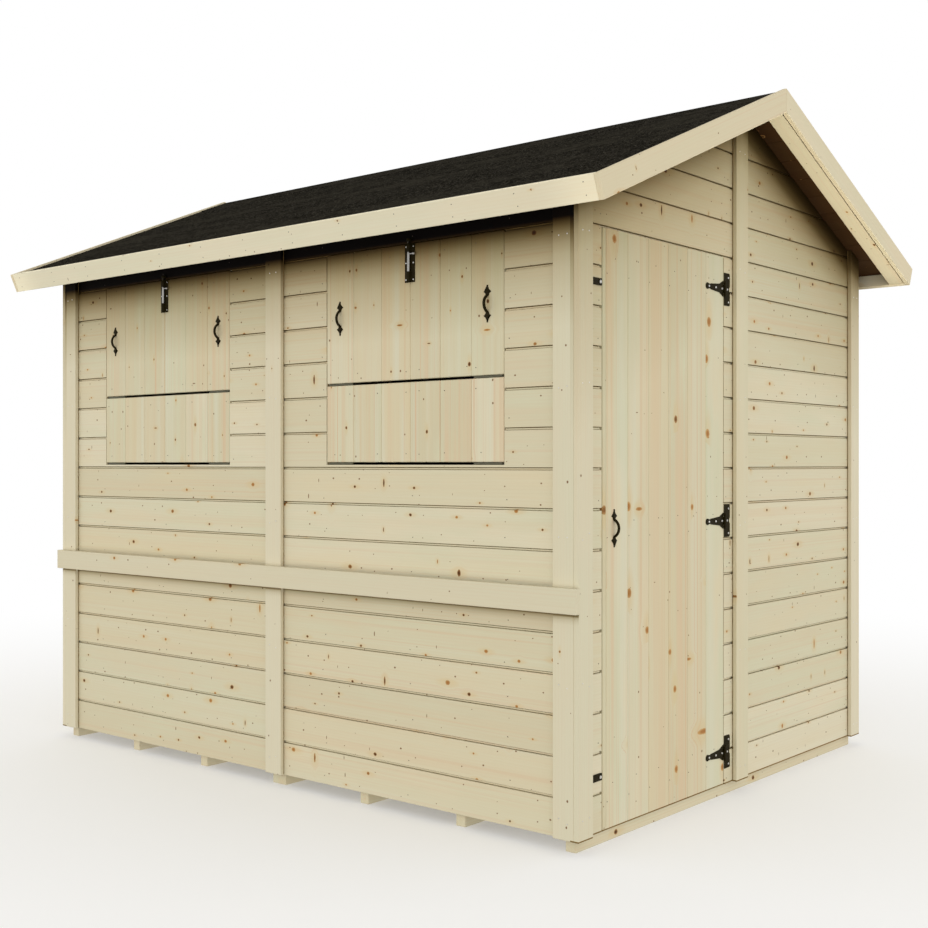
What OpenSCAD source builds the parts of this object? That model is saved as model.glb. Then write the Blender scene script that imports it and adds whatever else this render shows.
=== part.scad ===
// Garden bar shed: a boarded timber shed with an apex roof, a boarded door in one gable,
// two folding bar hatches in the long front and a bar ledge below them.
// Millimetres. +X runs along the ridge to the door gable, -Y is the bar front, +Z is up.
// The origin is on the ground, under the middle of the roof.

/* [Body] */
// Length of the body over its corner trims
body_l = 2440; // [2300:10:3000]
// Width of the body over its corner trims
body_w = 1840; // [1760:1:2400]
// Height that one row of wall boards covers
board_cover = 112; // [104:1:116]
// Rows of boards up to the eaves
wall_rows = 16; // [16:1:17]
// Thickness of the wall boards
clad_t = 12; // [10:1:18]
// Height of the bottom edge of the wall boards
clad_bottom = 38; // [20:1:44]

/* [Floor] */
// Width of a floor bearer
bearer_w = 34; // [28:1:50]
// Width of the middle bearer, under the joint of the two floor halves
middle_bearer_w = 62; // [50:1:100]
// Height of the floor bearers
bearer_h = 45; // [45:1:75]
// Bearers on each side of the middle one
bearers_a_side = 3; // [2:1:4]
// Thickness of the floor boards
floor_t = 12; // [10:1:20]
// Gap between the floor's edge and the wall boards
floor_edge_gap = 1; // [0.5:0.1:0.9]

/* [Frame] */
// Face width of the studs and rails
stud_w = 45; // [34:1:50]
// Depth of the studs and rails
stud_d = 28; // [27:1:45]
// Joint gap between pieces of the frame
joint_gap = 0.3; // [0.1:0.1:0.5]
// Height of the middle rails above the ground
rail_z = 620; // [560:10:700]

/* [Trims] */
// Thickness of the corner and centre trims
trim_t = 16; // [12:1:20]
// Width of the trims on the two long walls
trim_w = 70; // [60:1:90]
// Width of the corner trims on the gables
side_trim_w = 70; // [60:1:90]
// Width of the centre trims on the long walls
centre_trim_w = 75; // [60:1:100]
// Width of the centre trims on the gables
gable_trim_w = 78; // [60:1:100]

/* [Bar hatches] */
// Width of each hatch
hatch_w = 715; // [600:1:760]
// Distance of each hatch's middle from the middle of the front
hatch_offset = 596; // [560:1:620]
// Rows of boards below the hatches
sill_rows = 9; // [8:1:10]
// Part of the next row that stands above the sill's board joint
sill_lip = 7; // [0:1:20]
// Height of the folding lower flap
flap_h = 240; // [200:5:280]
// Gap below the flap and between the flap and the upper panel
hatch_gap = 8; // [8:0.5:12]
// Gap beside and over the hatches
hatch_side_gap = 2; // [1:0.5:6]
// Thickness of the rails on the back of the hatches and the door
back_rail_t = 16; // [12:1:20]
// Width of the rails on the back of the hatches
hatch_rail_w = 44; // [30:1:70]
// Length of one hatch hinge
hatch_hinge_l = 104; // [60:1:150]
// Distance of a hatch hinge from the hatch's edge
hatch_hinge_inset = 8; // [2:1:60]

/* [Bar ledge] */
// Height of the top of the ledge above the ground
ledge_top = 722; // [640:1:800]
// Height of the ledge rail
ledge_h = 70; // [50:1:120]
// Thickness of the ledge rail, which lies on the trims
ledge_t = 20; // [16:1:45]
// Length of the ledge past the corner trims
ledge_past = 6; // [0:1:20]

/* [Door] */
// Distance of the doorway from the front corner of the body
door_corner_w = 134; // [128:1:180]
// Rows of wall boards up to the top of the doorway
door_rows = 15; // [14:1:15]
// Gap over the door and beside its free edge
door_gap = 5; // [5:0.5:8]
// Gap between the door and the doorway on the hinge side
hinge_gap = 3; // [2.5:0.1:4]
// Width of the wall strip between the doorway and the centre trim
door_strip_w = 55; // [50:1:80]
// Gap between the back of the door and the posts it shuts on
door_rest_gap = 0.5; // [0.3:0.1:1]
// Width that the posts and header reach behind the door
post_lap = 14; // [12:1:18]
// Width of the door's three ledges and its braces
ledger_w = 95; // [70:1:110]
// Distance of the outer hinges, and the ledges behind them, from the ends of the door
hinge_inset = 102; // [90:1:200]

/* [Tee hinges] */
// Height of the fixed plate
hinge_plate_h = 104; // [80:1:140]
// Width of the fixed plate
hinge_plate_w = 36; // [28:1:44]
// Length of the strap from the pin
strap_l = 114; // [90:1:200]
// Height of the strap at the pin
strap_h = 50; // [40:1:60]
// Height of the strap at its tip
strap_tip_h = 14; // [10:1:20]
// Thickness of the plate and the strap
hinge_t = 2; // [1.5:0.1:2.5]
// Radius of the hinge barrel
barrel_r = 4.5; // [4:0.1:5]
// Radius of the hinge pin
pin_r = 2.5; // [2:0.1:2.8]
// Radial clearance of the pin in the strap's barrel
pin_clear = 0.06; // [0.02:0.01:0.1]

/* [Handles and fastenings] */
// Length of a pull handle over its leaf ends
handle_l = 108; // [90:1:140]
// Width of the grip of a pull handle
grip_w = 10; // [8:1:14]
// Thickness of the grip of a pull handle
grip_t = 7; // [5:0.5:9]
// Height of the middle of the grip's bow above the boards
grip_rise = 17; // [14:1:30]
// Width of a handle's leaf ends
handle_leaf_w = 26; // [20:1:32]
// Length of a tower bolt's plate
bolt_plate_l = 116; // [105:1:125]
// Width of a tower bolt's plate
bolt_plate_w = 40; // [30:1:50]
// Radius of the sliding rod of a tower bolt
bolt_rod_r = 4.5; // [4:0.5:6]
// Length of a turn button
button_l = 55; // [44:1:56]
// Width of a turn button
button_w = 20; // [16:1:22]
// Distance of the turn buttons' screws from the edge of the doorway
button_inset = 13; // [12:0.5:14]
// Distance of the turn buttons' screws from the heights of the door's ends
button_end = 155; // [100:1:300]

/* [Roof] */
// Pitch of the roof in degrees
pitch = 23; // [18:0.5:28]
// Overhang of the roof past the corner trims at the gables
gable_overhang = 154; // [100:1:200]
// Overhang of the roof past the trims at the eaves
eave_overhang = 133; // [90:1:160]
// Width of the fascias and barge boards
fascia_w = 70; // [60:1:95]
// Thickness of the fascias and barge boards
fascia_t = 16; // [12:1:22]
// Depth of the felt below the tops of the fascias and barge boards
felt_drop = 7; // [3:0.5:12]
// Thickness of the felt
felt_t = 3; // [2:0.5:4]
// Thickness of the roof boards
roof_t = 12; // [10:1:19]
// Width of the battens under the gable edges of the roof
edge_batten_w = 58; // [40:1:70]
// Depth of the battens under the roof
edge_batten_t = 47; // [28:1:47]
// Width of the ridge beam and the purlins
purlin_w = 45; // [34:1:60]
// Depth of the ridge beam and the purlins
purlin_h = 70; // [45:1:95]

/* [Hidden] */
$fn = 48;

timber = "#d2c8a6";
frame_timber = "#c3b68e";
trim_timber = "#dcd2b4";
black_iron = "#1c1c1b";
bright_steel = "#b9b9b4";
hinge_olive = "#6b6450";
felt_black = "#242321";

// Half sizes of the body at the trims' faces, the boards' outer faces and the boards' inner faces
trim_x = body_l / 2;
trim_y = body_w / 2;
out_x = trim_x - trim_t;
out_y = trim_y - trim_t;
in_x = out_x - clad_t;
in_y = out_y - clad_t;
// Half sizes of the room inside the frame
room_x = in_x - stud_d;
room_y = in_y - stud_d;

// Heights
function row_z(n) = clad_bottom + n * board_cover;
floor_top = bearer_h + floor_t;
eaves_z = row_z(wall_rows);
head_z = row_z(door_rows);
sill_z = row_z(sill_rows) + sill_lip;

// Hatches
flap_z0 = sill_z + hatch_gap;
panel_z0 = flap_z0 + flap_h + hatch_gap;
panel_z1 = head_z - hatch_side_gap;
opening_w = hatch_w + 2 * hatch_side_gap;
hatch_centres = [-hatch_offset, hatch_offset];

// Doorway and door leaf, along Y in the gable at +X
doorway_y0 = -trim_y + door_corner_w;
doorway_y1 = -gable_trim_w / 2 - door_strip_w;
leaf_y0 = doorway_y0 + door_gap;
leaf_y1 = doorway_y1 - hinge_gap;
door_w = leaf_y1 - leaf_y0;
leaf_z0 = clad_bottom;
leaf_z1 = head_z - door_gap;
leaf_mid_z = (leaf_z0 + leaf_z1) / 2;
leaf_back_x = in_x + door_rest_gap;
hinge_heights = [leaf_z0 + hinge_inset, leaf_mid_z, leaf_z1 - hinge_inset];
// The pin lies in front of the boards, over the gap beside the door
pin_x = out_x + barrel_r + joint_gap;
pin_y = doorway_y1 - hinge_gap / 2;
// How far the fixed knuckles reach above and below the strap's own barrel
knuckle_l = strap_h / 4;

// Roof: u runs down the slope from the ridge, n is measured square to the slope from the barge tops
roof_x = trim_x + gable_overhang;
roof_y = trim_y + eave_overhang;
slope_l = roof_y / cos(pitch);
// Where the roof's layers stop, just short of the fascia
layer_end = slope_l - fascia_t - joint_gap;
felt_n = -felt_drop;
boards_n = felt_n - felt_t;
under_n = boards_n - roof_t;
batten_n = under_n - edge_batten_t;
ridge_z = eaves_z + joint_gap + out_y * tan(pitch) - under_n / cos(pitch);
function slope_point(u, n) = [-u * cos(pitch) - n * sin(pitch), ridge_z - u * sin(pitch) + n * cos(pitch)];
function plumb_z(n) = ridge_z + n / cos(pitch);
function under_z(y) = plumb_z(under_n) - abs(y) * tan(pitch);

// A box from its low corner to its high corner
module block(low, high) {
    translate(low) cube(high - low);
}

// A shape drawn in Y and Z, run along X from x0 to x1
module along_x(x0, x1) {
    translate([x0, 0, 0]) rotate([90, 0, 90]) linear_extrude(x1 - x0) children();
}

module copy_mirror(axis) {
    children();
    mirror(axis) children();
}

// ---- Floor ----

module bearer(x, w) {
    block([x - w / 2, -in_y + floor_edge_gap, 0], [x + w / 2, in_y - floor_edge_gap, bearer_h]);
}

module floor_bearers() {
    outer_x = in_x - floor_edge_gap - bearer_w / 2;
    color(timber) {
        bearer(0, middle_bearer_w);
        copy_mirror([1, 0, 0]) for (i = [1 : bearers_a_side]) bearer(i * outer_x / bearers_a_side, bearer_w);
    }
}

module floor_boards() {
    color(frame_timber)
        block([-in_x + floor_edge_gap, -in_y + floor_edge_gap, bearer_h],
            [in_x - floor_edge_gap, in_y - floor_edge_gap, floor_top]);
}

// ---- Front wall ----

module front_wall_piece(x0, x1, z0, z1) {
    block([x0, -out_y, z0], [x1, -in_y, z1]);
}

module front_wall_lower() {
    color(timber) front_wall_piece(-out_x, out_x, clad_bottom, sill_z);
}

module front_wall_ends() {
    color(timber) copy_mirror([1, 0, 0])
        front_wall_piece(hatch_offset + opening_w / 2, out_x, sill_z, head_z);
}

module front_wall_middle() {
    half = hatch_offset - opening_w / 2;
    color(timber) front_wall_piece(-half, half, sill_z, head_z);
}

module front_wall_top() {
    color(timber) front_wall_piece(-out_x, out_x, head_z, eaves_z);
}

// A rail of a long wall's frame, and a stud between two heights
module long_rail(x0, x1, z0, h) {
    block([x0, -in_y, z0], [x1, -room_y, z0 + h]);
}

module long_stud(x, z0, z1) {
    block([x - stud_w / 2, -in_y, z0 + joint_gap], [x + stud_w / 2, -room_y, z1 - joint_gap]);
}

module front_frame() {
    plate_top = under_z(in_y) - joint_gap;
    head_rail_z = head_z - post_lap;
    sill_rail_z = sill_z - stud_w;
    stud_x = hatch_offset + opening_w / 2 + stud_w / 2 - post_lap;
    inner_stud_x = hatch_offset - opening_w / 2 - stud_w / 2 + post_lap;
    color(frame_timber) {
        long_rail(-in_x, in_x, floor_top, stud_w);
        long_rail(-in_x, in_x, sill_rail_z, stud_w);
        long_rail(-in_x, in_x, head_rail_z, plate_top - head_rail_z);
        for (x = [-in_x + stud_w / 2, -hatch_offset, 0, hatch_offset, in_x - stud_w / 2])
            long_stud(x, floor_top + stud_w, sill_rail_z);
        for (x = [-stud_x, -inner_stud_x, inner_stud_x, stud_x])
            long_stud(x, sill_rail_z + stud_w, head_rail_z);
    }
}

// ---- Back wall ----

module back_wall() {
    color(timber) block([-out_x, in_y, clad_bottom], [out_x, out_y, eaves_z]);
}

module back_frame() {
    plate_top = under_z(in_y) - joint_gap;
    stud_step = (in_x - stud_w / 2) / 2;
    color(frame_timber) mirror([0, 1, 0]) {
        long_rail(-in_x, in_x, floor_top, stud_w);
        long_rail(-in_x, in_x, rail_z, stud_w);
        long_rail(-in_x, in_x, plate_top - stud_w, stud_w);
        for (i = [-2 : 2]) {
            long_stud(i * stud_step, floor_top + stud_w, rail_z);
            long_stud(i * stud_step, rail_z + stud_w, plate_top - stud_w);
        }
    }
}

// ---- Gable walls ----

// The outline of a gable wall over a height z0, up to the underside of the roof boards
module gable_outline(z0) {
    edge_z = under_z(in_y) - joint_gap;
    polygon([[-in_y, z0], [in_y, z0], [in_y, edge_z], [0, plumb_z(under_n) - joint_gap], [-in_y, edge_z]]);
}

module door_wall_strips() {
    color(timber) {
        block([in_x, -in_y, clad_bottom], [out_x, doorway_y0, head_z]);
        block([in_x, doorway_y1, clad_bottom], [out_x, 0, head_z]);
    }
}

module door_wall_panel() {
    color(timber) block([in_x, 0, clad_bottom], [out_x, in_y, head_z]);
}

module door_wall_gable() {
    color(timber) along_x(in_x, out_x) gable_outline(head_z);
}

// A rail or post of a gable's frame at +X
module gable_rail(y0, y1, z0, h) {
    block([room_x, y0 + joint_gap, z0], [in_x, y1 - joint_gap, z0 + h]);
}

module gable_post(y0, z0, z1) {
    block([room_x, y0, z0 + joint_gap], [in_x, y0 + stud_w, z1 - joint_gap]);
}

// The sloping rail under one side of the gable's roof boards
module gable_top_rail() {
    z_edge = under_z(room_y) - joint_gap;
    z_mid = plumb_z(under_n) - joint_gap - joint_gap * tan(pitch);
    drop = stud_w / cos(pitch);
    along_x(room_x, in_x)
        polygon([[-room_y + joint_gap, z_edge], [-joint_gap, z_mid],
            [-joint_gap, z_mid - drop], [-room_y + joint_gap, z_edge - drop]]);
}

// The height at which a post meets the gable's top rail, kept square to the lower side of its top
module full_gable_post(y0, z0) {
    low_y = max(abs(y0), abs(y0 + stud_w));
    gable_post(y0, z0, under_z(low_y) - stud_w / cos(pitch) - joint_gap);
}

module door_wall_frame() {
    post_a = doorway_y0 + post_lap - stud_w;
    post_b = doorway_y1 - post_lap;
    header_z = head_z - post_lap;
    color(frame_timber) {
        full_gable_post(post_a, floor_top);
        full_gable_post(post_b, floor_top);
        gable_rail(post_a + stud_w, post_b, header_z, stud_w);
        gable_rail(post_b + stud_w, room_y - stud_w, floor_top, stud_w);
        gable_rail(post_b + stud_w, room_y - stud_w, rail_z, stud_w);
        full_gable_post(room_y - stud_w, floor_top);
        copy_mirror([0, 1, 0]) gable_top_rail();
    }
}

module plain_wall() {
    color(timber) along_x(-out_x, -in_x) gable_outline(clad_bottom);
}

module plain_wall_frame() {
    middle_y0 = -stud_w / 2;
    color(frame_timber) mirror([1, 0, 0]) {
        full_gable_post(-room_y + joint_gap, floor_top);
        full_gable_post(middle_y0, floor_top);
        full_gable_post(room_y - stud_w - joint_gap, floor_top);
        copy_mirror([0, 1, 0]) for (z = [floor_top, rail_z])
            gable_rail(stud_w / 2, room_y - stud_w - joint_gap, z, stud_w);
        copy_mirror([0, 1, 0]) gable_top_rail();
    }
}

// ---- Trims and ledge ----

// The three upright trims of the long wall at -Y
module long_wall_trims() {
    trim_top = eaves_z - trim_t * tan(pitch);
    for (x = [-out_x, out_x - trim_w])
        block([x, -trim_y, clad_bottom], [x + trim_w, -out_y, trim_top]);
    block([-centre_trim_w / 2, -trim_y, clad_bottom], [centre_trim_w / 2, -out_y, trim_top]);
}

module front_trims() {
    color(trim_timber) long_wall_trims();
}

module back_trims() {
    color(trim_timber) mirror([0, 1, 0]) long_wall_trims();
}

module gable_corner_trims() {
    inner_y = trim_y - side_trim_w;
    color(trim_timber) copy_mirror([1, 0, 0]) copy_mirror([0, 1, 0])
        along_x(out_x, trim_x)
            polygon([[-trim_y, clad_bottom], [-inner_y, clad_bottom],
                [-inner_y, under_z(inner_y) - joint_gap], [-trim_y, under_z(trim_y) - joint_gap]]);
}

module gable_centre_trims() {
    half = gable_trim_w / 2;
    color(trim_timber) copy_mirror([1, 0, 0])
        along_x(out_x, trim_x)
            polygon([[-half, clad_bottom], [half, clad_bottom], [half, under_z(half) - joint_gap],
                [0, plumb_z(under_n) - joint_gap], [-half, under_z(half) - joint_gap]]);
}

module bar_ledge() {
    half = trim_x + ledge_past;
    color(trim_timber)
        block([-half, -trim_y - ledge_t, ledge_top - ledge_h], [half, -trim_y, ledge_top]);
}

// ---- Bar hatches ----

module hatch_leaf(x, z0, z1) {
    block([x - hatch_w / 2, -out_y, z0], [x + hatch_w / 2, -in_y, z1]);
}

module hatch_flaps() {
    color(timber) for (x = hatch_centres) hatch_leaf(x, flap_z0, flap_z0 + flap_h);
}

module hatch_panels() {
    color(timber) for (x = hatch_centres) hatch_leaf(x, panel_z0, panel_z1);
}

// Upright rails on the backs of the flaps and panels, clear of the frame behind the hatch's edges
module hatch_rails() {
    rail_x = hatch_w / 2 - post_lap - hatch_rail_w;
    end_inset = post_lap + hatch_gap;
    color(frame_timber) for (x = hatch_centres) for (side = [-1, 1])
        for (z = [[flap_z0, flap_z0 + flap_h], [panel_z0, panel_z1]])
            block([x + side * rail_x - hatch_rail_w / 2, -in_y, z[0] + end_inset],
                [x + side * rail_x + hatch_rail_w / 2, -in_y + back_rail_t, z[1] - end_inset]);
}

// One butt hinge in the gap under a leaf, with its upper wing on the back of that leaf
module hatch_hinge(x, z) {
    knuckle_y = -out_y + clad_t / 2;
    knuckle_r = hatch_gap / 2 - joint_gap;
    wing_top = hatch_gap / 2 + post_lap;
    wing_inset = max(joint_gap, post_lap - hatch_hinge_inset);
    half = hatch_hinge_l / 2 - wing_inset;
    color(hinge_olive) translate([x, 0, z]) {
        translate([0, knuckle_y, 0]) rotate([0, 90, 0]) cylinder(h = hatch_hinge_l, r = knuckle_r, center = true);
        block([-half, knuckle_y, -hinge_t / 2], [half, -in_y + hinge_t, hinge_t / 2]);
        block([-half, -in_y, -hinge_t / 2], [half, -in_y + hinge_t, wing_top]);
    }
}

module hatch_hinges() {
    reach = hatch_w / 2 - hatch_hinge_inset - hatch_hinge_l / 2;
    for (x = hatch_centres) for (side = [-1, 1])
        for (z = [flap_z0, panel_z0]) hatch_hinge(x + side * reach, z - hatch_gap / 2);
}

// ---- Pull handles ----

handle_leaf_t = 3;
// Length of a leaf's point and half width of the point's root, over the leaf's half width
leaf_point = 1.5;
leaf_shoulder = 0.8;
// How far inside the middle of a leaf the grip is rooted
grip_inset = 10;

// A leaf-shaped end of a pull handle: a round body drawn out to a point, tip up
module handle_leaf(t) {
    r = handle_leaf_w / 2;
    linear_extrude(t) {
        circle(r);
        polygon([[-leaf_shoulder * r, 0], [leaf_shoulder * r, 0], [0, leaf_point * r]]);
    }
}

// A bowed pull handle along Z on a face at y = 0, standing out towards -Y
module pull_handle() {
    foot_z = handle_l / 2 - leaf_point * handle_leaf_w / 2;
    root_z = foot_z - grip_inset;
    bow_r = (root_z * root_z + grip_rise * grip_rise) / (2 * grip_rise);
    bow_y = bow_r - grip_rise;
    copy_mirror([0, 0, 1]) translate([0, 0, foot_z]) rotate([90, 0, 0]) handle_leaf(handle_leaf_t);
    along_x(-grip_w / 2, grip_w / 2) difference() {
        translate([bow_y, 0]) circle(bow_r + grip_t / 2);
        translate([bow_y, 0]) circle(bow_r - grip_t / 2);
        translate([-handle_leaf_t / 2, -handle_l]) square(2 * handle_l);
    }
}

module hatch_handles() {
    board_w = hatch_w / 6;
    reach = hatch_w / 2 - board_w / 2;
    handle_z = (panel_z0 + panel_z1) / 2;
    color(black_iron) for (x = hatch_centres) for (side = [-1, 1])
        translate([x + side * reach, -out_y, handle_z]) pull_handle();
}

module door_handle() {
    color(black_iron) translate([out_x, leaf_y0 + door_w / 12, leaf_mid_z]) rotate([0, 0, 90]) pull_handle();
}

// ---- Tower bolts ----

bolt_t = 2;
rod_clear = 0.06;
keeper_wall = 2;
knob_r = 5;
knob_reach = 20;
bolt_z0 = panel_z1 - joint_gap - bolt_plate_l;
bolt_z1 = bolt_z0 + bolt_plate_l;
rod_gap = 1;
rod_y = -out_y - bolt_t - bolt_rod_r - rod_gap;
// Heights of the lower guide, the upper guide and the keeper on the head board
guide_low_h = 32;
guide_top_h = 26;
head_keeper_h = 9;
keeper_rise = 3;
head_keeper_z = head_z + keeper_rise;

// A round-nosed guide on the boards, with a running bore for the rod
module bolt_guide(x, z0, h) {
    outer = bolt_rod_r + keeper_wall;
    difference() {
        union() {
            translate([x, rod_y, z0]) cylinder(h = h, r = outer);
            block([x - outer, rod_y, z0], [x + outer, -out_y, z0 + h]);
        }
        translate([x, rod_y, z0 - 1]) cylinder(h = h + 2, r = bolt_rod_r + rod_clear);
    }
}

module tower_bolts() {
    half = bolt_plate_w / 2;
    color(black_iron) for (x = hatch_centres) {
        block([x - half, -out_y - bolt_t, bolt_z0], [x + half, -out_y, bolt_z1]);
        bolt_guide(x, bolt_z0, guide_low_h);
        bolt_guide(x, bolt_z1 - guide_top_h, guide_top_h);
        bolt_guide(x, head_keeper_z, head_keeper_h);
    }
}

// The sliding rods, shot up into the keepers, with their knobs turned to the right
module bolt_rods() {
    rod_z0 = bolt_z0 + guide_low_h - 2 * knob_r;
    knob_z = bolt_z1 - guide_top_h - knob_r;
    color(bright_steel) for (x = hatch_centres) {
        translate([x, rod_y, rod_z0])
            cylinder(h = head_keeper_z + head_keeper_h - rod_z0, r = bolt_rod_r);
        translate([x, rod_y, knob_z]) rotate([0, 90, 0]) cylinder(h = knob_reach, r = knob_r / 2);
        translate([x + knob_reach, rod_y, knob_z]) sphere(knob_r);
    }
}

// ---- Door ----

module door_leaf() {
    color(timber) block([leaf_back_x, leaf_y0, leaf_z0], [out_x, leaf_y1, leaf_z1]);
}

// Ledges and braces on the inside, clear of the posts that the door shuts on
ledge_clear = 4;
module door_ledges() {
    end_inset = post_lap + door_gap + ledge_clear;
    y0 = leaf_y0 + end_inset;
    y1 = leaf_y1 - end_inset;
    x0 = leaf_back_x - back_rail_t;
    color(frame_timber) {
        for (z = hinge_heights) block([x0, y0, z - ledger_w / 2], [leaf_back_x, y1, z + ledger_w / 2]);
        for (i = [0, 1]) {
            low = hinge_heights[i] + ledger_w / 2 + joint_gap;
            high = hinge_heights[i + 1] - ledger_w / 2 - joint_gap;
            along_x(x0, leaf_back_x)
                polygon([[y1, low], [y1 - ledger_w, low], [y0, high], [y0 + ledger_w, high]]);
        }
    }
}

// The moving strap of a tee hinge, drawn in Y and Z with the pin at the origin
strap_neck_l = 22;
strap_neck_h = 28;
strap_ring_r = 10;
strap_scallop_r = 5;

module strap_outline() {
    root_y = -barrel_r - 1.5;
    ring_y = -strap_l + strap_ring_r;
    scallop_y = ring_y + strap_ring_r + strap_scallop_r;
    difference() {
        union() {
            polygon([[root_y, -strap_h / 2], [root_y, strap_h / 2], [root_y - strap_neck_l, strap_neck_h / 2],
                [ring_y, strap_tip_h / 2], [ring_y, -strap_tip_h / 2],
                [root_y - strap_neck_l, -strap_neck_h / 2]]);
            translate([ring_y, 0]) circle(strap_ring_r);
        }
        for (side = [-1, 1]) translate([scallop_y, side * (strap_tip_h / 2 + strap_scallop_r - 1)])
            circle(strap_scallop_r);
    }
}

module hinge_strap(z) {
    half = knuckle_l - joint_gap;
    back_x = out_x - pin_x;
    translate([pin_x, pin_y, z]) difference() {
        union() {
            along_x(back_x, back_x + hinge_t) strap_outline();
            cylinder(h = 2 * half, r = barrel_r, center = true);
            block([back_x, -barrel_r - 2, -half], [back_x + hinge_t, 0, half]);
        }
        cylinder(h = 2 * strap_h, r = pin_r + pin_clear, center = true);
    }
}

module door_hinge_straps() {
    color(black_iron) for (z = hinge_heights) hinge_strap(z);
}

// The fixed plate of a tee hinge: rounded corners, a waist, and a notch for the strap's barrel
scallop_r = 11;
scallop_depth = 5;
barrel_room = 2;
module plate_outline() {
    half = hinge_plate_h / 2;
    near = hinge_gap / 2;
    far = near + hinge_plate_w;
    corner = 6;
    notch = knuckle_l + joint_gap;
    difference() {
        union() {
            translate([near, -half]) square([hinge_plate_w - corner, hinge_plate_h]);
            translate([near, -half + corner]) square([hinge_plate_w, hinge_plate_h - 2 * corner]);
            for (side = [-1, 1]) translate([far - corner, side * (half - corner)]) circle(corner);
        }
        translate([far + scallop_r - scallop_depth, 0]) circle(scallop_r);
        translate([0, -notch]) square([barrel_r + barrel_room, 2 * notch]);
    }
}

module hinge_plate(z) {
    back_x = out_x - pin_x;
    translate([pin_x, pin_y, z]) {
        along_x(back_x, back_x + hinge_t) plate_outline();
        copy_mirror([0, 0, 1]) {
            translate([0, 0, knuckle_l]) cylinder(h = knuckle_l, r = barrel_r);
            block([back_x, 0, knuckle_l + joint_gap], [back_x + hinge_t, barrel_r + 2, 2 * knuckle_l]);
        }
        cylinder(h = strap_h, r = pin_r, center = true);
    }
}

module door_hinge_plates() {
    color(black_iron) for (z = hinge_heights) hinge_plate(z);
}

// ---- Turn buttons ----

button_t = 3;
button_gap = 1;
button_screw_r = 2.2;
button_head_r = 4.5;
button_y = doorway_y0 - button_inset;
button_heights = [leaf_z0 + button_end, leaf_z1 - button_end];

// A turn button on its screw, turned away from the door
module turn_button(z) {
    r = button_w / 2;
    corner = 2;
    translate([out_x + button_gap, button_y, z]) rotate([90, 0, 90]) color(black_iron) difference() {
        linear_extrude(button_t) {
            translate([r - button_l, -r + corner]) square([button_l, button_w - 2 * corner]);
            translate([r - button_l + corner, -r]) square([button_l - 2 * corner, button_w]);
            for (x = [r - button_l + corner, r - corner]) for (y = [corner - r, r - corner])
                translate([x, y]) circle(corner);
        }
        translate([0, 0, -1]) cylinder(h = button_t + 2, r = button_screw_r + pin_clear);
    }
}

module upper_turn_button() {
    turn_button(button_heights[1]);
}

module lower_turn_button() {
    turn_button(button_heights[0]);
}

module turn_button_screws() {
    color(bright_steel) for (z = button_heights)
        translate([out_x, button_y, z]) rotate([0, 90, 0]) {
            cylinder(h = button_gap + button_t + 1, r = button_screw_r);
            translate([0, 0, button_gap + button_t + joint_gap]) cylinder(h = 2, r = button_head_r);
        }
}

// ---- Roof ----

// A layer of the front slope between two depths, cut plumb at the ridge and square at the eave
module slope_layer(x0, x1, u_end, top_n, low_n) {
    along_x(x0, x1) polygon([[0, plumb_z(top_n)], slope_point(u_end, top_n),
        slope_point(u_end, low_n), [0, plumb_z(low_n)]]);
}

module front_roof_boards() {
    x = roof_x - fascia_t;
    color(frame_timber) slope_layer(-x, x, layer_end, boards_n, under_n);
}

module back_roof_boards() {
    mirror([0, 1, 0]) front_roof_boards();
}

module front_felt() {
    x = roof_x - fascia_t;
    color(felt_black) slope_layer(-x, x, layer_end, felt_n, boards_n);
}

module back_felt() {
    mirror([0, 1, 0]) front_felt();
}

// Battens under the overhanging gable edges, one on each slope
module roof_edge_battens() {
    x1 = roof_x - fascia_t;
    y0 = -joint_gap;
    color(timber) copy_mirror([1, 0, 0]) copy_mirror([0, 1, 0])
        along_x(x1 - edge_batten_w, x1)
            polygon([[y0, plumb_z(under_n) + y0 * tan(pitch)], slope_point(layer_end, under_n),
                slope_point(layer_end, batten_n), [y0, plumb_z(batten_n) + y0 * tan(pitch)]]);
}

module ridge_beam() {
    half = purlin_w / 2;
    top = under_z(half) - joint_gap;
    x = room_x - joint_gap;
    color(frame_timber) block([-x, -half, top - purlin_h], [x, half, top]);
}

module purlins() {
    y = room_y / 2;
    half = purlin_w / 2;
    top = under_z(y + half) - joint_gap;
    x = room_x - joint_gap;
    color(frame_timber) copy_mirror([0, 1, 0]) block([-x, y - half, top - purlin_h], [x, y + half, top]);
}

module front_fascia() {
    x = roof_x - fascia_t;
    color(trim_timber) along_x(-x, x) polygon([slope_point(slope_l, 0), slope_point(slope_l, -fascia_w),
        slope_point(slope_l - fascia_t, -fascia_w), slope_point(slope_l - fascia_t, 0)]);
}

module back_fascia() {
    mirror([0, 1, 0]) front_fascia();
}

module front_barge_boards() {
    color(trim_timber) copy_mirror([1, 0, 0])
        slope_layer(roof_x - fascia_t, roof_x, slope_l, 0, -fascia_w);
}

module back_barge_boards() {
    mirror([0, 1, 0]) front_barge_boards();
}

floor_bearers();
floor_boards();
front_wall_lower();
front_wall_ends();
front_wall_middle();
front_wall_top();
front_frame();
back_wall();
back_frame();
door_wall_strips();
door_wall_panel();
door_wall_gable();
door_wall_frame();
plain_wall();
plain_wall_frame();
front_trims();
back_trims();
gable_corner_trims();
gable_centre_trims();
bar_ledge();
hatch_flaps();
hatch_panels();
hatch_rails();
hatch_hinges();
hatch_handles();
tower_bolts();
bolt_rods();
door_leaf();
door_ledges();
door_hinge_straps();
door_hinge_plates();
door_handle();
upper_turn_button();
lower_turn_button();
turn_button_screws();
front_roof_boards();
back_roof_boards();
roof_edge_battens();
ridge_beam();
purlins();
front_felt();
back_felt();
front_fascia();
back_fascia();
front_barge_boards();
back_barge_boards();
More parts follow.
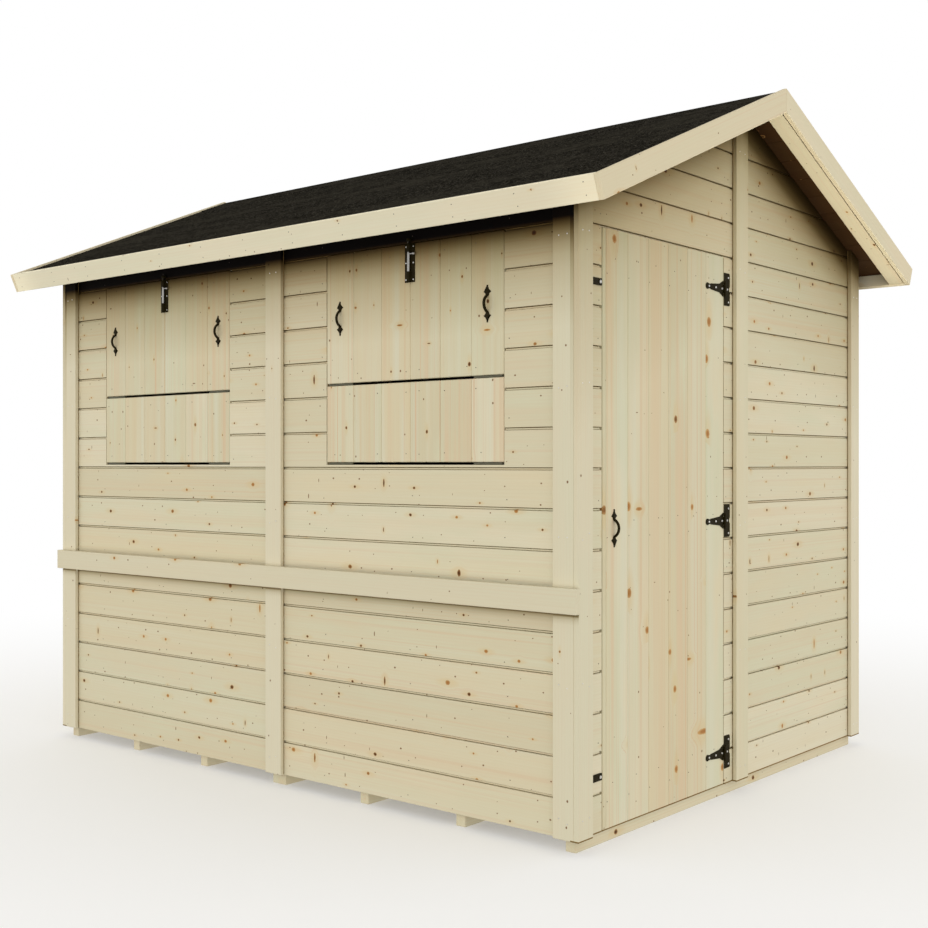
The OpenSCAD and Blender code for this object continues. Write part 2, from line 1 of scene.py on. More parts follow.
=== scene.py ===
"""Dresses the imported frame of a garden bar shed: shiplap boards, trims, ironmongery, fixings and felt."""

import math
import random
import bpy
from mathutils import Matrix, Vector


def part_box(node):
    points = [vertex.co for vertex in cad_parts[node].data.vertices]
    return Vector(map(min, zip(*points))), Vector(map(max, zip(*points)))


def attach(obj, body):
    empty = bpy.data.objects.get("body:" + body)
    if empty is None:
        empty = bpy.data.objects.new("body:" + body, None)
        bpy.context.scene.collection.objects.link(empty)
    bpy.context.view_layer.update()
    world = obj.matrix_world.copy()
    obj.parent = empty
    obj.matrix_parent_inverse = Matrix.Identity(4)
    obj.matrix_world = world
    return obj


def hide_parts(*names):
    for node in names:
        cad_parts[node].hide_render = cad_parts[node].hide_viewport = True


bl_info = {
    "name": "Bar Shed Joinery",
    "version": (1, 0, 0),
    "blender": (4, 5, 0),
    "location": "View3D > Sidebar > Bar Shed",
    "description": "Boards, trims, ironmongery and felt for a garden bar shed",
    "category": "Object",
}

import bmesh
import bpy
from bpy.props import FloatProperty, FloatVectorProperty, IntProperty, PointerProperty
from mathutils import Matrix, Vector

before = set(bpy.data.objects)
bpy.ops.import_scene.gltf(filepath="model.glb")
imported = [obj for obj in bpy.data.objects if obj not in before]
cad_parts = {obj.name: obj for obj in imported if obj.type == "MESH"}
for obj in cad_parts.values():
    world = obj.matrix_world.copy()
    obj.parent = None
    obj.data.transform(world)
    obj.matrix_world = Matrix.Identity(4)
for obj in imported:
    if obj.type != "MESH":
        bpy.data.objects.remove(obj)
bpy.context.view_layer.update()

X, Y, Z = Vector((1, 0, 0)), Vector((0, 1, 0)), Vector((0, 0, 1))
MERGE = 1e-6
FLAT = math.radians(1)


# ---- Sizes and colours that a user may change ----


def length(name, description, default):
    """The property of a length."""
    return FloatProperty(name=name, description=description, default=default, unit="LENGTH")


def swatch(name, description, *default):
    """The property of a colour."""
    return FloatVectorProperty(name=name, description=description, default=default, subtype="COLOR")


class ShedBoards(bpy.types.PropertyGroup):
    """The boards and how they are machined."""

    rows: IntProperty(name="Rows", description="Rows of boards up to the eaves", default=16, min=8)
    recess: length("Recess", "Depth of the strip that each row leaves above its face", 0.0065)
    recess_width: length("Recess width", "Height of that strip", 0.0078)
    quirk: length("Quirk", "Width of the fine groove at the foot of the strip", 0.0013)
    gap: length("Gap", "Gap under the edge of the board above", 0.0021)
    arris: length("Arris", "Softened edge of a board", 0.0009)
    vee: length("V joint", "Chamfer along the joints of upright boards", 0.0019)
    upright: IntProperty(name="Upright boards", description="Boards across a door or hatch", default=6, min=2)
    door_cover: length("Door board", "Width that a door board covers", 0.1111)


class ShedIronSizes(bpy.types.PropertyGroup):
    """Sizes of the ironmongery and fixings."""

    screw: length("Screw head", "Radius of a screw head", 0.0036)
    nail: length("Nail head", "Radius of a nail head", 0.0017)
    grip: length("Grip", "Radius of a pull handle's bar", 0.0041)
    rise: length("Rise", "Height of the bar's middle over the boards", 0.0165)
    root: length("Root", "Half the distance between the bar's ends", 0.0245)


class ShedColours(bpy.types.PropertyGroup):
    """Colours of the finishes."""

    board: swatch("Boards", "Wall boards", 0.646, 0.583, 0.412)
    upright: swatch("Upright boards", "Boards of the door and the hatches", 0.640, 0.580, 0.408)
    trim: swatch("Trims", "Planed trims and the ledge", 0.655, 0.595, 0.432)
    gable_trim: swatch("Gable trims", "Planed trims up the middle of the gables", 0.616, 0.552, 0.376)
    barge: swatch("Barge boards", "Planed boards along the gable edges of the roof", 0.652, 0.571, 0.393)
    # The fascias' colour is lighter than the other planed boards': painted light, as their faces tilt down
    # with the roof and catch less light.
    fascia: swatch("Fascias", "Planed boards along the eaves", 0.773, 0.702, 0.510)
    framing: swatch("Framing", "Sawn studs, rails and bearers", 0.640, 0.565, 0.385)
    # The roof boards' dark brown is deepened to near black: painted shade, for the soffits under the eaves.
    sheathing: swatch("Roof boards", "Undersides of the roof boards", 0.060, 0.029, 0.011)
    felt: swatch("Felt", "Mineral felt", 0.0135, 0.0121, 0.0090)
    iron: swatch("Ironmongery", "Black coated steel", 0.0160, 0.0118, 0.0030)
    zinc: swatch("Zinc", "Screws and rods", 0.72, 0.70, 0.66)
    nail: swatch("Nails", "Nail heads in the boards", 0.075, 0.055, 0.038)
    olive: swatch("Hinge leaves", "Olive coated leaves of the hatch hinges", 0.085, 0.080, 0.046)


def boards_set():
    return bpy.context.scene.shed_boards


def iron_sizes():
    return bpy.context.scene.shed_iron


# ---- Shader maths ----


def operator(operation, swapped=False):
    """An operator of amounts: it adds one Math node to their finish."""
    def method(self, other):
        return self.finish.maths(operation, *((other, self) if swapped else (self, other)))
    return method


class Amount:
    """A number or colour in a finish. Sums with it add Math nodes to that finish."""

    def __init__(self, finish, socket):
        self.finish, self.socket = finish, socket

    __add__ = __radd__ = operator("ADD")
    __sub__, __rsub__ = operator("SUBTRACT"), operator("SUBTRACT", swapped=True)
    __mul__ = __rmul__ = operator("MULTIPLY")
    __truediv__, __pow__ = operator("DIVIDE"), operator("POWER")
    __gt__ = operator("GREATER_THAN")


class Finish:
    """A material, or the world's surface, under construction."""

    def __init__(self, name, owner=None):
        self.material = owner or bpy.data.materials.new(name)
        self.material.use_nodes = True
        self.tree = self.material.node_tree
        self.tree.nodes.clear()

    def node(self, kind, settings=None, inputs=None, output=0):
        """Makes one node: its settings, then the values or links of its sockets. Gives back one output."""
        made = self.tree.nodes.new(kind)
        for key, value in (settings or {}).items():
            if key == "stops":
                ramp = made.color_ramp
                while len(ramp.elements) < len(value):
                    ramp.elements.new(1.0)
                for element, (place, colour) in zip(ramp.elements, value):
                    element.position, element.color = place, colour
            else:
                setattr(made, key, value)
        for key, value in (inputs or {}).items():
            socket = made.inputs[key]
            if isinstance(value, Amount):
                self.tree.links.new(value.socket, socket)
            elif hasattr(socket.default_value, "__len__") and len(socket.default_value) == 4:
                socket.default_value = (*value[:3], 1.0)
            else:
                socket.default_value = value
        return Amount(self, made.outputs[output]) if made.outputs else None

    def place(self):
        """Where a point lies on the shed."""
        return self.node("ShaderNodeTexCoord", {}, {}, "Object")

    def maths(self, operation, *values):
        return self.node("ShaderNodeMath", {"operation": operation}, dict(enumerate(values)))

    def vector(self, operation, *values, output=0):
        return self.node("ShaderNodeVectorMath", {"operation": operation}, dict(enumerate(values)), output)

    def bump(self, strength, distance, height):
        return self.node("ShaderNodeBump", {}, {"Strength": strength, "Distance": distance, "Height": height})

    def mix(self, factor, first, second, blend="MIX"):
        """One colour over another."""
        settings = {"data_type": "RGBA", "blend_type": blend}
        return self.node("ShaderNodeMix", settings, {0: factor, 6: first, 7: second}, 2)

    def step(self, value, low, high, to_low=0.0, to_high=1.0):
        """A smooth step from to_low to to_high while value goes from low to high."""
        settings = {"interpolation_type": "SMOOTHSTEP"}
        return self.node("ShaderNodeMapRange", settings, {0: value, 1: low, 2: high, 3: to_low, 4: to_high})

    def noise(self, place, scale, detail=3.0, roughness=0.55):
        inputs = {"Vector": place, "Scale": scale, "Detail": detail, "Roughness": roughness}
        return self.node("ShaderNodeTexNoise", {}, inputs)

    def split(self, vector):
        """The three parts of a vector."""
        made = self.node("ShaderNodeSeparateXYZ", {}, {0: vector})
        outputs = made.socket.node.outputs
        return [Amount(self, outputs[i]) for i in range(3)]

    def join(self, x, y, z):
        return self.node("ShaderNodeCombineXYZ", {}, {0: x, 1: y, 2: z})

    def seen(self):
        """One where the eye, a reflection or glass looks, and nothing where light is gathered."""
        outputs = self.node("ShaderNodeLightPath").socket.node.outputs
        kinds = ("Camera", "Glossy", "Transmission")
        eye, gloss, glass = (Amount(self, outputs["Is %s Ray" % kind]) for kind in kinds)
        return self.maths("MAXIMUM", self.maths("MAXIMUM", eye, gloss), glass)

    def surface(self, **sockets):
        """Ends the material with a Principled shader whose sockets are given by name."""
        inputs = {key.replace("_", " "): value for key, value in sockets.items()}
        shader = self.node("ShaderNodeBsdfPrincipled", {}, inputs)
        self.node("ShaderNodeOutputMaterial", {}, {"Surface": shader})
        return self.material


def knots_on(f, along, across, wobble, cell, share, small, large, shift):
    """Scatters knots on a loose grid. Gives back whether a place's cell holds one, how far the place lies
    from its middle in radii, the same along the grain for its stain, its distance across, and its own
    chance number."""
    flat = f.join(along * (1 / cell) + shift, across * (1 / cell) + shift, 0.0)
    cells = f.node("ShaderNodeTexVoronoi", {"voronoi_dimensions": "2D"},
                   {"Vector": flat, "Scale": 1.0, "Randomness": 0.85})
    outputs = cells.socket.node.outputs
    chance, size, tall = f.split(Amount(f, outputs["Color"]))
    gap_along, gap_across, _ = f.split(f.vector("SUBTRACT", flat, Amount(f, outputs["Position"])))
    gap_along, gap_across = gap_along * cell, gap_across * cell
    held = f.maths("LESS_THAN", chance, share)
    radius = small + size * size * (large - small)
    spike = f.step(tall, 0.84, 0.90)  # the few knots that the saw met along their length
    wide = gap_across / (1.0 + spike * 1.6)
    long = gap_along * (0.80 + spike * 0.7)
    reach = f.maths("SQRT", long * long + wide * wide) * (0.78 + wobble * 0.44) / radius
    stain = f.maths("SQRT", long * long * 0.16 + wide * wide) / radius
    return held, reach, stain, gap_across, chance * (1 / share)


def wall_faces():
    """How far the faces of the gables, and those of the long walls, lie from the middle of the shed."""
    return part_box("door_wall_panel")[1][0], -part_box("front_wall_lower")[0][1]


def painted_shade(f):
    """Painted shade on the walls. Gives back how far each place is out of it, least under the roof's edges
    and just under the ledge, then the painted shade in the creases where their edges meet other boards and
    along the gables' foot, and the painted shade in the recesses of the joints between their rows."""
    x, y, z = f.split(f.place())
    wide, deep = f.maths("ABSOLUTE", x), f.maths("ABSOLUTE", y)
    apex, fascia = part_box("plain_wall")[1][2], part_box("front_fascia")[0][2]
    side, face = wall_faces()
    ledge_foot, gable_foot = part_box("bar_ledge")[0][2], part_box("door_wall_panel")[0][2]

    def ramp(place, *stops):
        settings = {"stops": [(at, (value, value, value, 1.0)) for at, value in stops]}
        return f.node("ShaderNodeValToRGB", settings, {0: place})

    def layer(depth, wall, inner, outer, other, limit):
        """One between two depths over a wall's face and up to a limit the other way, and nothing beyond."""
        return (depth > wall + inner) * (1.0 - (depth > wall + outer)) * (1.0 - (other > limit))

    # Each ramp is read by the distance below the roof's edge or the ledge, over the reach of its shade.
    eaves_reach, verge_reach, shelf_reach = 0.3, 0.7, 0.03
    # Painted shade, darkest at its edge and fading away from it: under the fascias, under the gables' slopes,
    # and under the ledge.
    eaves = ramp((fascia - z) * (1 / eaves_reach), (0.0, 0.003), (0.014, 0.02), (0.075, 0.155), (0.16, 0.37),
                 (0.24, 0.53), (0.34, 0.67), (0.47, 0.77), (0.67, 0.86), (1.0, 1.0))
    verge = ramp((apex - deep * math.tan(pitch()) - z) * (1 / verge_reach), (0.0, 0.05), (0.05, 0.085),
                 (0.10, 0.18), (0.14, 0.37), (0.20, 0.54), (0.29, 0.70), (0.43, 0.80), (0.60, 0.88),
                 (1.0, 1.0))
    shelf = ramp((ledge_foot - z) * (1 / shelf_reach), (0.0, 0.22), (0.22, 0.35), (0.33, 0.74), (0.6, 0.9),
                 (1.0, 1.0))

    # Depths over a wall's face: into the boards, the floor of their joints, and the faces of the trims.
    board, groove, trims, hair, line = -0.0115, -0.0068, 0.04, 0.0004, 0.0034
    trim_face, trim_skin, gable_trims, corner, foot_line = 0.014, 0.018, 0.02, 0.012, 0.0045
    long_wall = layer(deep, face, board, trims, wide, side + 0.0005)
    gable = layer(wide, side, board, gable_trims, deep, face + trims)
    # Painted shade in the recesses of the joints between rows, short of the corners.
    rows = (layer(deep, face, board, groove, wide, side - corner)
            + layer(wide, side, board, groove, deep, face - corner))
    # Painted shade in the creases where the sides of the trims meet the walls' faces.
    contact = (layer(deep, face, hair, line, wide, side + hair)
               + layer(wide, side, hair, line, deep, face + hair))
    # Painted shade along the lowest few millimetres of the gables' boards and trims.
    foot = layer(wide, side, board, gable_trims, z, gable_foot + foot_line)
    # Painted shadow just under the ledge, on the front wall and its trims.
    below = (layer(deep, face, board, 0.0005, wide, side)
             + layer(deep, face, trim_face, trim_skin, wide, side + trims))
    below = below * (1.0 - (z > ledge_foot)) * (1.0 - (y > 0.0))
    # How far each place is out of the painted shade under the roof's edges, the gables' slopes and the ledge.
    unshaded = (1.0 - long_wall * (1.0 - eaves)) * (1.0 - gable * (1.0 - verge)) * (1.0 - below * (1.0 - shelf))
    return unshaded, contact + foot, rows


def scaled(colour, *shares):
    """A colour with its parts multiplied, by one share or by one each, and kept within white."""
    return [min(1.0, part * share) for part, share in zip(colour, shares if shares[1:] else shares * 3)]


def timber(name, colour, knots=0.5, sizes=(0.0030, 0.0092), pins=0.33, bands=34.0, streaks=0.5, rings=0.12,
           saw=0.0, spread=1.0, stain=0.0, seam_shade=0.0, amber=0.0):
    """Softwood. The board's own grain attribute runs along, across and through it, and tint varies it.

    knots and pins are the shares of places that hold a knot or a pin knot, sizes the smallest and largest
    radius of a knot, bands the warm bands to a metre, streaks their strength, rings that of the growth rings,
    saw the depth of the saw marks, spread how much one board differs from the next, the next argument the
    strength of the painted shade under the roof's edges and under the ledge, which when given also paints a
    dark brown shade into the creases where boards meet, the one after it how much of that painted shade falls
    in the recesses of the joints between rows, and amber how many more knots are amber instead of brown."""
    f = Finish(name)
    grain = f.node("ShaderNodeAttribute", {"attribute_name": "grain"}, output="Vector")
    tint = f.node("ShaderNodeAttribute", {"attribute_name": "tint"}, output="Vector")
    tone, hue, rich = f.split(tint)
    along, across, through = f.split(grain)
    wobble = f.noise(grain, 170.0, 2.0)
    held, reach, aura, off, pick = knots_on(f, along, across, wobble, 0.118, knots, *sizes, 0.0)
    pinned, pin_reach, _, _, _ = knots_on(f, along, across, wobble, 0.062, pins, 0.0012, 0.0029, 31.7)
    knot = f.step(reach, 1.15, 0.90) * held
    heart = f.step(reach, 0.85, 0.40) * held
    halo = f.step(aura, 2.8, 0.8) * held
    pin = f.step(pin_reach, 1.25, 0.80) * pinned
    swirl = f.step(reach, 5.5, 0.8) * held

    # The grain lies along the board and parts around a knot.
    flow = across - off * swirl * 0.62
    bend = f.noise(f.join(along * 0.55, flow * 5.0, through * 5.0), 1.0, 1.5, 0.45)
    fibre = f.noise(f.join(along * 7.0, flow * 520.0, through * 520.0), 1.0, 3.0, 0.6)
    lines = f.maths("PINGPONG", flow * 210.0 + bend * 11.0 + through * 160.0, 1.0)
    late = f.step(lines, 0.35, 1.0)
    band = f.noise(f.join(along * 0.42, flow * bands, through * bands), 1.0, 2.5, 0.6)
    broad = f.noise(f.join(along * 0.30 + 3.0, flow * (bands * 0.42), through * 9.0), 1.0, 1.5, 0.5)
    thin = f.noise(f.join(along * 0.30 + 5.0, flow * 120.0, through * 120.0), 1.0, 1.5, 0.5)
    cloud = f.noise(f.join(along * 2.0, across * 8.0, through * 8.0), 1.0, 3.0, 0.6)

    # Each layer is how much of it shows, and what it does to the board's colour.
    layers = (
        (f.step(cloud + hue * 0.30, 0.52, 0.86) * (0.75 * spread), (0.94, 1.0, 0.98)),  # green cast
        (f.step(hue, 0.62, 1.0) * (0.55 * spread), (1.0, 0.93, 0.86)),  # rosy boards
        (f.step(cloud, 0.50, 0.25) * (0.30 * spread), (1.02, 0.96, 0.84)),  # yellow clouds
        (f.step(broad, 0.50, 0.66) * (0.45 * streaks), (0.98, 0.88, 0.78)),  # broad warm bands
        (f.step(band, 0.50, 0.32) * (0.35 + hue * 0.5) * streaks, (0.99, 1.05, 1.12)),  # pale bands
        (late * rings, (0.92, 0.76, 0.58)),  # growth rings
        (f.step(band, 0.53, 0.70) * (0.25 + rich * 0.75) * streaks, (0.99, 0.83, 0.75)),  # heartwood
        (f.step(thin, 0.57, 0.70) * (0.15 + rich * 0.8) * streaks, (0.96, 0.74, 0.65)),  # thin streaks
        (f.step(fibre, 0.42, 0.80) * 0.10, (0.72, 0.64, 0.52)),  # fibres
        (halo * 0.34, (0.95, 0.76, 0.50)))  # the stain along the grain from a knot
    body = f.mix(tone, scaled(colour, 1 - 0.07 * spread, 1 - 0.08 * spread, 1 - 0.12 * spread),
                 scaled(colour, 1.05, 1.05, 1.07))
    for share, shift in layers:
        body = f.mix(share, body, scaled(colour, *shift))
    body = f.mix(pin * 0.92, body, (0.165, 0.074, 0.026))
    ring_colour = f.mix(f.step(pick + amber, 0.0, 1.0), (0.26, 0.125, 0.040), (0.50, 0.285, 0.100))
    heart_colour = f.mix(f.step(pick + amber, 0.30, 0.70), (0.085, 0.037, 0.013), (0.37, 0.165, 0.046))
    body = f.mix(knot, body, f.mix(heart, ring_colour, heart_colour))
    # Painted shade: the wood is darkened under the roof's edges and the ledge, and a dark brown painted shade
    # fills the creases and the row joints.
    if stain:
        unshaded, joint, rows = painted_shade(f)
        joint = f.maths("MINIMUM", joint + rows * seam_shade, 1.0)
        unshaded = unshaded ** stain
        # The painted shade turns warmer as it deepens.
        shadow = f.mix(joint, f.join(unshaded, unshaded ** 1.18, unshaded ** 1.6), (0.34, 0.24, 0.11))
        body = f.mix(1.0, body, shadow, blend="MULTIPLY")

    marks = f.noise(f.join(along * 260.0, across * 6.0, through * 6.0), 1.0, 2.0)
    height = fibre * 0.5 - late * rings * 1.6 + marks * saw + knot * 0.8
    bump = f.bump(0.5, 0.0005, height)
    rough = 0.62 + fibre * 0.16 - knot * 0.14
    return f.surface(Base_Color=body, Roughness=rough, Normal=bump, Specular_IOR_Level=0.08)


def planed(name, colour, stain=0.0):
    """Planed softwood, fine and even, as on the trims."""
    # The trims take painted shade only when its strength is given.
    return timber(name, colour, knots=0.24, sizes=(0.0020, 0.0065), pins=0.24, streaks=0.26, rings=0.07,
                  spread=0.6, stain=stain)


def mineral_felt(name, colour):
    """Bitumen felt with a fine mineral face."""
    f = Finish(name)
    place = f.place()
    grit = f.node("ShaderNodeTexVoronoi", {}, {"Vector": place, "Scale": 430.0})
    fine, bright, _ = f.split(Amount(f, grit.socket.node.outputs["Color"]))
    squeezed = f.vector("MULTIPLY", place, (1.0, 0.8, 0.8))
    coarse = f.node("ShaderNodeTexVoronoi", {}, {"Vector": squeezed, "Scale": 230.0})
    clump, tuft, _ = f.split(Amount(f, coarse.socket.node.outputs["Color"]))
    worn = f.noise(f.vector("MULTIPLY", place, (2.2, 7.0, 7.0)), 1.0, 4.0, 0.65)
    patch = f.noise(place, 26.0, 3.0, 0.6)
    body = f.mix(fine, scaled(colour, 0.35), scaled(colour, 1.7))
    for share, shade in (
            (f.step(clump, 0.55, 1.0) * 0.9, scaled(colour, 5.0)),  # pale clumps of grit
            (f.step(tuft, 0.50, 0.0) * 0.7, scaled(colour, 0.2)),  # gaps between them
            (f.step(bright, 0.93, 0.97) * 0.8, (0.085, 0.080, 0.070)),  # bright grains
            (f.step(worn, 0.44, 0.66) * 0.6, scaled(colour, 2.8)),  # worn streaks
            (f.step(patch, 0.52, 0.30) * 0.5, scaled(colour, 0.4))):  # dark patches
        body = f.mix(share, body, shade)
    bump = f.bump(0.8, 0.0014, grit + coarse * 0.6 + patch * 0.6)
    return f.surface(Base_Color=body, Roughness=0.95, Normal=bump, Specular_IOR_Level=0.0)


def coated_metal(name, colour, roughness, metallic=0.0, worn=0.2, shine=0.5):
    """Coated or plated steel with a faint cast unevenness."""
    f = Finish(name)
    place = f.place()
    cast = f.noise(place, 420.0, 3.0, 0.6)
    cloud = f.noise(place, 60.0, 3.0, 0.6)
    body = f.mix(f.step(cloud, 0.45, 0.72) * worn, colour, [min(1.0, c * 2.4 + 0.01) for c in colour])
    bump = f.bump(0.4, 0.0004, cast)
    rough = roughness + cloud * 0.16 - 0.08
    return f.surface(Base_Color=body, Roughness=rough, Metallic=metallic, Normal=bump,
                     Specular_IOR_Level=shine)


class Finishes:
    """The finishes, each made when a piece first asks for it."""

    made = {}

    @classmethod
    def get(cls, name):
        if name not in cls.made:
            cls.made[name] = cls.make(name)
        return cls.made[name]

    @staticmethod
    def make(name):
        c = bpy.context.scene.shed_colours
        # The wall, door and hatch boards take the full painted shade under the roof's edges, and the shiplap
        # also in its row joints; the wall trims take a little less, and the barge boards and fascias none.
        boards, steel = dict(rings=0.08, stain=1.0), dict(metallic=0.2)
        maker, colour, settings = {
            "shiplap": (timber, c.board, dict(boards, knots=0.66, sizes=(0.0026, 0.0070), pins=0.46,
                                              streaks=0.34, seam_shade=1.0)),
            "hatch_boards": (timber, c.upright, dict(boards, knots=0.46, sizes=(0.0022, 0.0058), pins=0.20,
                                                     bands=24.0, streaks=0.9, spread=1.4)),
            "door_boards": (timber, c.upright, dict(boards, knots=0.22, sizes=(0.0070, 0.0135), pins=0.14,
                                                    bands=17.0, streaks=1.0, spread=1.5, amber=0.45)),
            "planed_trim": (planed, c.trim, dict(stain=0.9)),
            "gable_trim": (planed, c.gable_trim, dict(stain=0.9)),
            "barge_board": (planed, c.barge, {}),
            "fascia_board": (planed, c.fascia, {}),
            "sawn_framing": (timber, c.framing, dict(knots=0.3, streaks=0.5, rings=0.22, saw=0.8)),
            "roof_sheathing": (timber, c.sheathing, dict(knots=0.2, streaks=0.6, rings=0.3, saw=0.8)),
            "mineral_felt": (mineral_felt, c.felt, {}),
            "black_iron": (coated_metal, c.iron, dict(roughness=0.45, shine=0.04)),
            "zinc": (coated_metal, c.zinc, dict(roughness=0.34, metallic=1.0, worn=0.1)),
            # The rod is the zinc at half its colour: a darker copy that paints shade into its reflections.
            "drawn_rod": (coated_metal, scaled(c.zinc, 0.5), dict(roughness=0.28, metallic=1.0, worn=0.1)),
            "nail_steel": (coated_metal, c.nail, dict(steel, roughness=0.55)),
            "olive_brass": (coated_metal, c.olive, dict(steel, roughness=0.45)),
        }[name]
        return maker(name, colour, **settings)


# ---- Mesh helpers ----


def copy_of(node):
    """A cleaned copy of a CAD node's mesh: doubles merged, and flat triangles joined into whole faces."""
    bm = bmesh.new()
    bm.from_mesh(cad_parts[node].data)
    grain_layers(bm)
    bmesh.ops.remove_doubles(bm, verts=bm.verts, dist=MERGE)
    bmesh.ops.dissolve_limit(bm, angle_limit=FLAT, verts=bm.verts, edges=bm.edges)
    for face in bm.faces:
        face.smooth = False
    return bm


def solids(bm):
    """The separate solids of a mesh, each as a list of its vertices, in a steady order."""
    bm.verts.index_update()
    seen, found = set(), []
    for first in bm.verts:
        if first.index in seen:
            continue
        seen.add(first.index)
        grown = [first]
        for vert in grown:
            for edge in vert.link_edges:
                other = edge.other_vert(vert)
                if other.index not in seen:
                    seen.add(other.index)
                    grown.append(other)
        found.append(grown)
    return found


def corners(verts):
    """The lowest and the highest corner of some vertices."""
    low = Vector([min(v.co[i] for v in verts) for i in range(3)])
    high = Vector([max(v.co[i] for v in verts) for i in range(3)])
    return low, high


def points_of(node):
    """Where the corners of a CAD node's mesh are."""
    bm = copy_of(node)
    found = [vert.co.copy() for vert in bm.verts]
    bm.free()
    return found


def parts_of(node):
    """The lowest and highest corner of each solid in a CAD node."""
    bm = copy_of(node)
    found = [corners(verts) for verts in solids(bm)]
    bm.free()
    return found


def grain_layers(bm):
    """The layers that the timber finishes read."""
    layers = bm.verts.layers
    grain = layers.float_vector.get("grain") or layers.float_vector.new("grain")
    tint = layers.float_color.get("tint") or layers.float_color.new("tint")
    return grain, tint


def mark_grain(bm, verts, along, across, chance):
    """Writes where each vertex lies in its own board, and the board's chance tint."""
    grain, tint = grain_layers(bm)
    through = along.cross(across)
    shift = Vector([chance.uniform(0, 9) for _ in range(3)])
    tone = (chance.random(), chance.random(), chance.random(), 1.0)
    for vert in verts:
        place = (vert.co.dot(along), vert.co.dot(across), vert.co.dot(through))
        vert[grain] = Vector(place) + shift
        vert[tint] = tone


def board_axes(verts):
    """The directions along and across a board, from its longest edges."""
    edges = {edge for vert in verts for edge in vert.link_edges}
    spans = sorted(((e.verts[1].co - e.verts[0].co) for e in edges), key=lambda s: -s.length)
    along = spans[0].normalized()
    if along.dot(X + Y * 0.9 + Z * 0.8) < 0:
        along.negate()
    square = [s - along * s.dot(along) for s in spans]
    across = max(square, key=lambda s: round(s.length, 5)).normalized()
    if across.dot(X * 0.7 + Y * 0.8 + Z) < 0:
        across.negate()
    return along, across


def placed(name, data):
    """A new object in the scene."""
    made = bpy.data.objects.new(name, data)
    bpy.context.collection.objects.link(made)
    return made


def build(name, bm, finish, body, slot, *replaced, smooth=False):
    """Makes the piece, gives it its finish, hangs it from its body's empty, and hides the CAD nodes it stands
    for. The slot is not used.
    """
    mesh = bpy.data.meshes.new(name)
    bm.to_mesh(mesh)
    bm.free()
    if smooth:
        mesh.polygons.foreach_set("use_smooth", [True] * len(mesh.polygons))
        mesh.set_sharp_from_angle(angle=math.radians(35))
    mesh.materials.append(Finishes.get(finish))
    piece = placed(name, mesh)
    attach(piece, body)
    if replaced:
        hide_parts(*replaced)
    return piece


def soften(bm, width, edges=None, segments=1):
    """Rounds the arrises of a mesh."""
    bmesh.ops.bevel(bm, geom=list(edges or bm.edges), offset=width, offset_type="OFFSET", segments=segments,
                    profile=0.5, affect="EDGES", clamp_overlap=True, material=-1)


def grained(bm, seed):
    """The same mesh, with the grain of each of its solids along its length."""
    chance = random.Random(seed)
    for verts in solids(bm):
        mark_grain(bm, verts, *board_axes(verts), chance)
    return bm


def timber_copy(node, finish, slot, body="root", arris=0.0012):
    """The solids of a CAD node as softened timbers."""
    bm = copy_of(node)
    soften(bm, arris)
    return build(node + "_timber", grained(bm, node + " timber"), finish, body, slot, node)


def metal_copy(node, finish, slot, body="root", arris=0.0005):
    """The solids of a CAD node as a fitting with rounded arrises."""
    bm = copy_of(node)
    sharp = [e for e in bm.edges if e.is_manifold and e.calc_face_angle(0) > math.radians(30)]
    soften(bm, arris, sharp, segments=2)
    return build(node + "_fitting", bm, finish, body, slot, node, smooth=True)


def moved(bm, matrix):
    """The same mesh, moved as a whole."""
    bmesh.ops.transform(bm, matrix=matrix, verts=bm.verts)
    return bm


def standing(place, direction, lift):
    """The place of a head that faces a direction, lifted along it."""
    turn = direction.to_track_quat("Z", "Y").to_matrix().to_4x4()
    return Matrix.Translation(place + direction * lift) @ turn


def nails(name, spots, body="root"):
    """Small flat heads. Each spot is a place and the direction that it faces."""
    radius = iron_sizes().nail
    bm = bmesh.new()
    for place, direction in spots:
        bmesh.ops.create_cone(bm, cap_ends=True, segments=8, radius1=radius, radius2=radius * 0.8,
                              depth=radius * 0.5, matrix=standing(place, direction, radius * 0.12))
    return build(name, bm, "nail_steel", body, "bright_steel", smooth=True)


def screws(name, spots, body="root", radius=None):
    """Domed heads with a cross recess. Each spot is a place and the direction that it faces."""
    radius = radius or iron_sizes().screw
    height = radius * 0.55
    whole = bmesh.new()
    for place, direction in spots:
        head = bmesh.new()
        bmesh.ops.create_cone(head, cap_ends=True, segments=16, radius1=radius, radius2=radius * 0.78,
                              depth=height)
        top = max(head.faces, key=lambda face: face.calc_center_median().z)
        bmesh.ops.inset_region(head, faces=[top], thickness=radius * 0.2)
        for index, vert in enumerate(top.verts):
            arm = 0.60 if index % 4 == 0 else 0.18
            flat = Vector((vert.co.x, vert.co.y, 0)).normalized() * radius * arm
            vert.co.x, vert.co.y = flat.x, flat.y
        bmesh.ops.inset_region(head, faces=[top], thickness=radius * 0.02, depth=-radius * 0.3)
        add_to(whole, moved(head, standing(place, direction, height * 0.2)))
    return build(name, whole, "zinc", body, "bright_steel", smooth=True)


def even(start, end, count):
    """The joints that part a width into equal boards."""
    return [start + (end - start) * i / count for i in range(1, count)]


def cut_line(bm, point, normal, clear=False):
    """Cuts a mesh with a plane, and if asked clears what lies beyond it. Gives back the edges of the cut."""
    geometry = bm.verts[:] + bm.edges[:] + bm.faces[:]
    cut = bmesh.ops.bisect_plane(bm, geom=geometry, plane_co=point, plane_no=normal, clear_outer=clear)
    return [g for g in cut["geom_cut"] if isinstance(g, bmesh.types.BMEdge)]


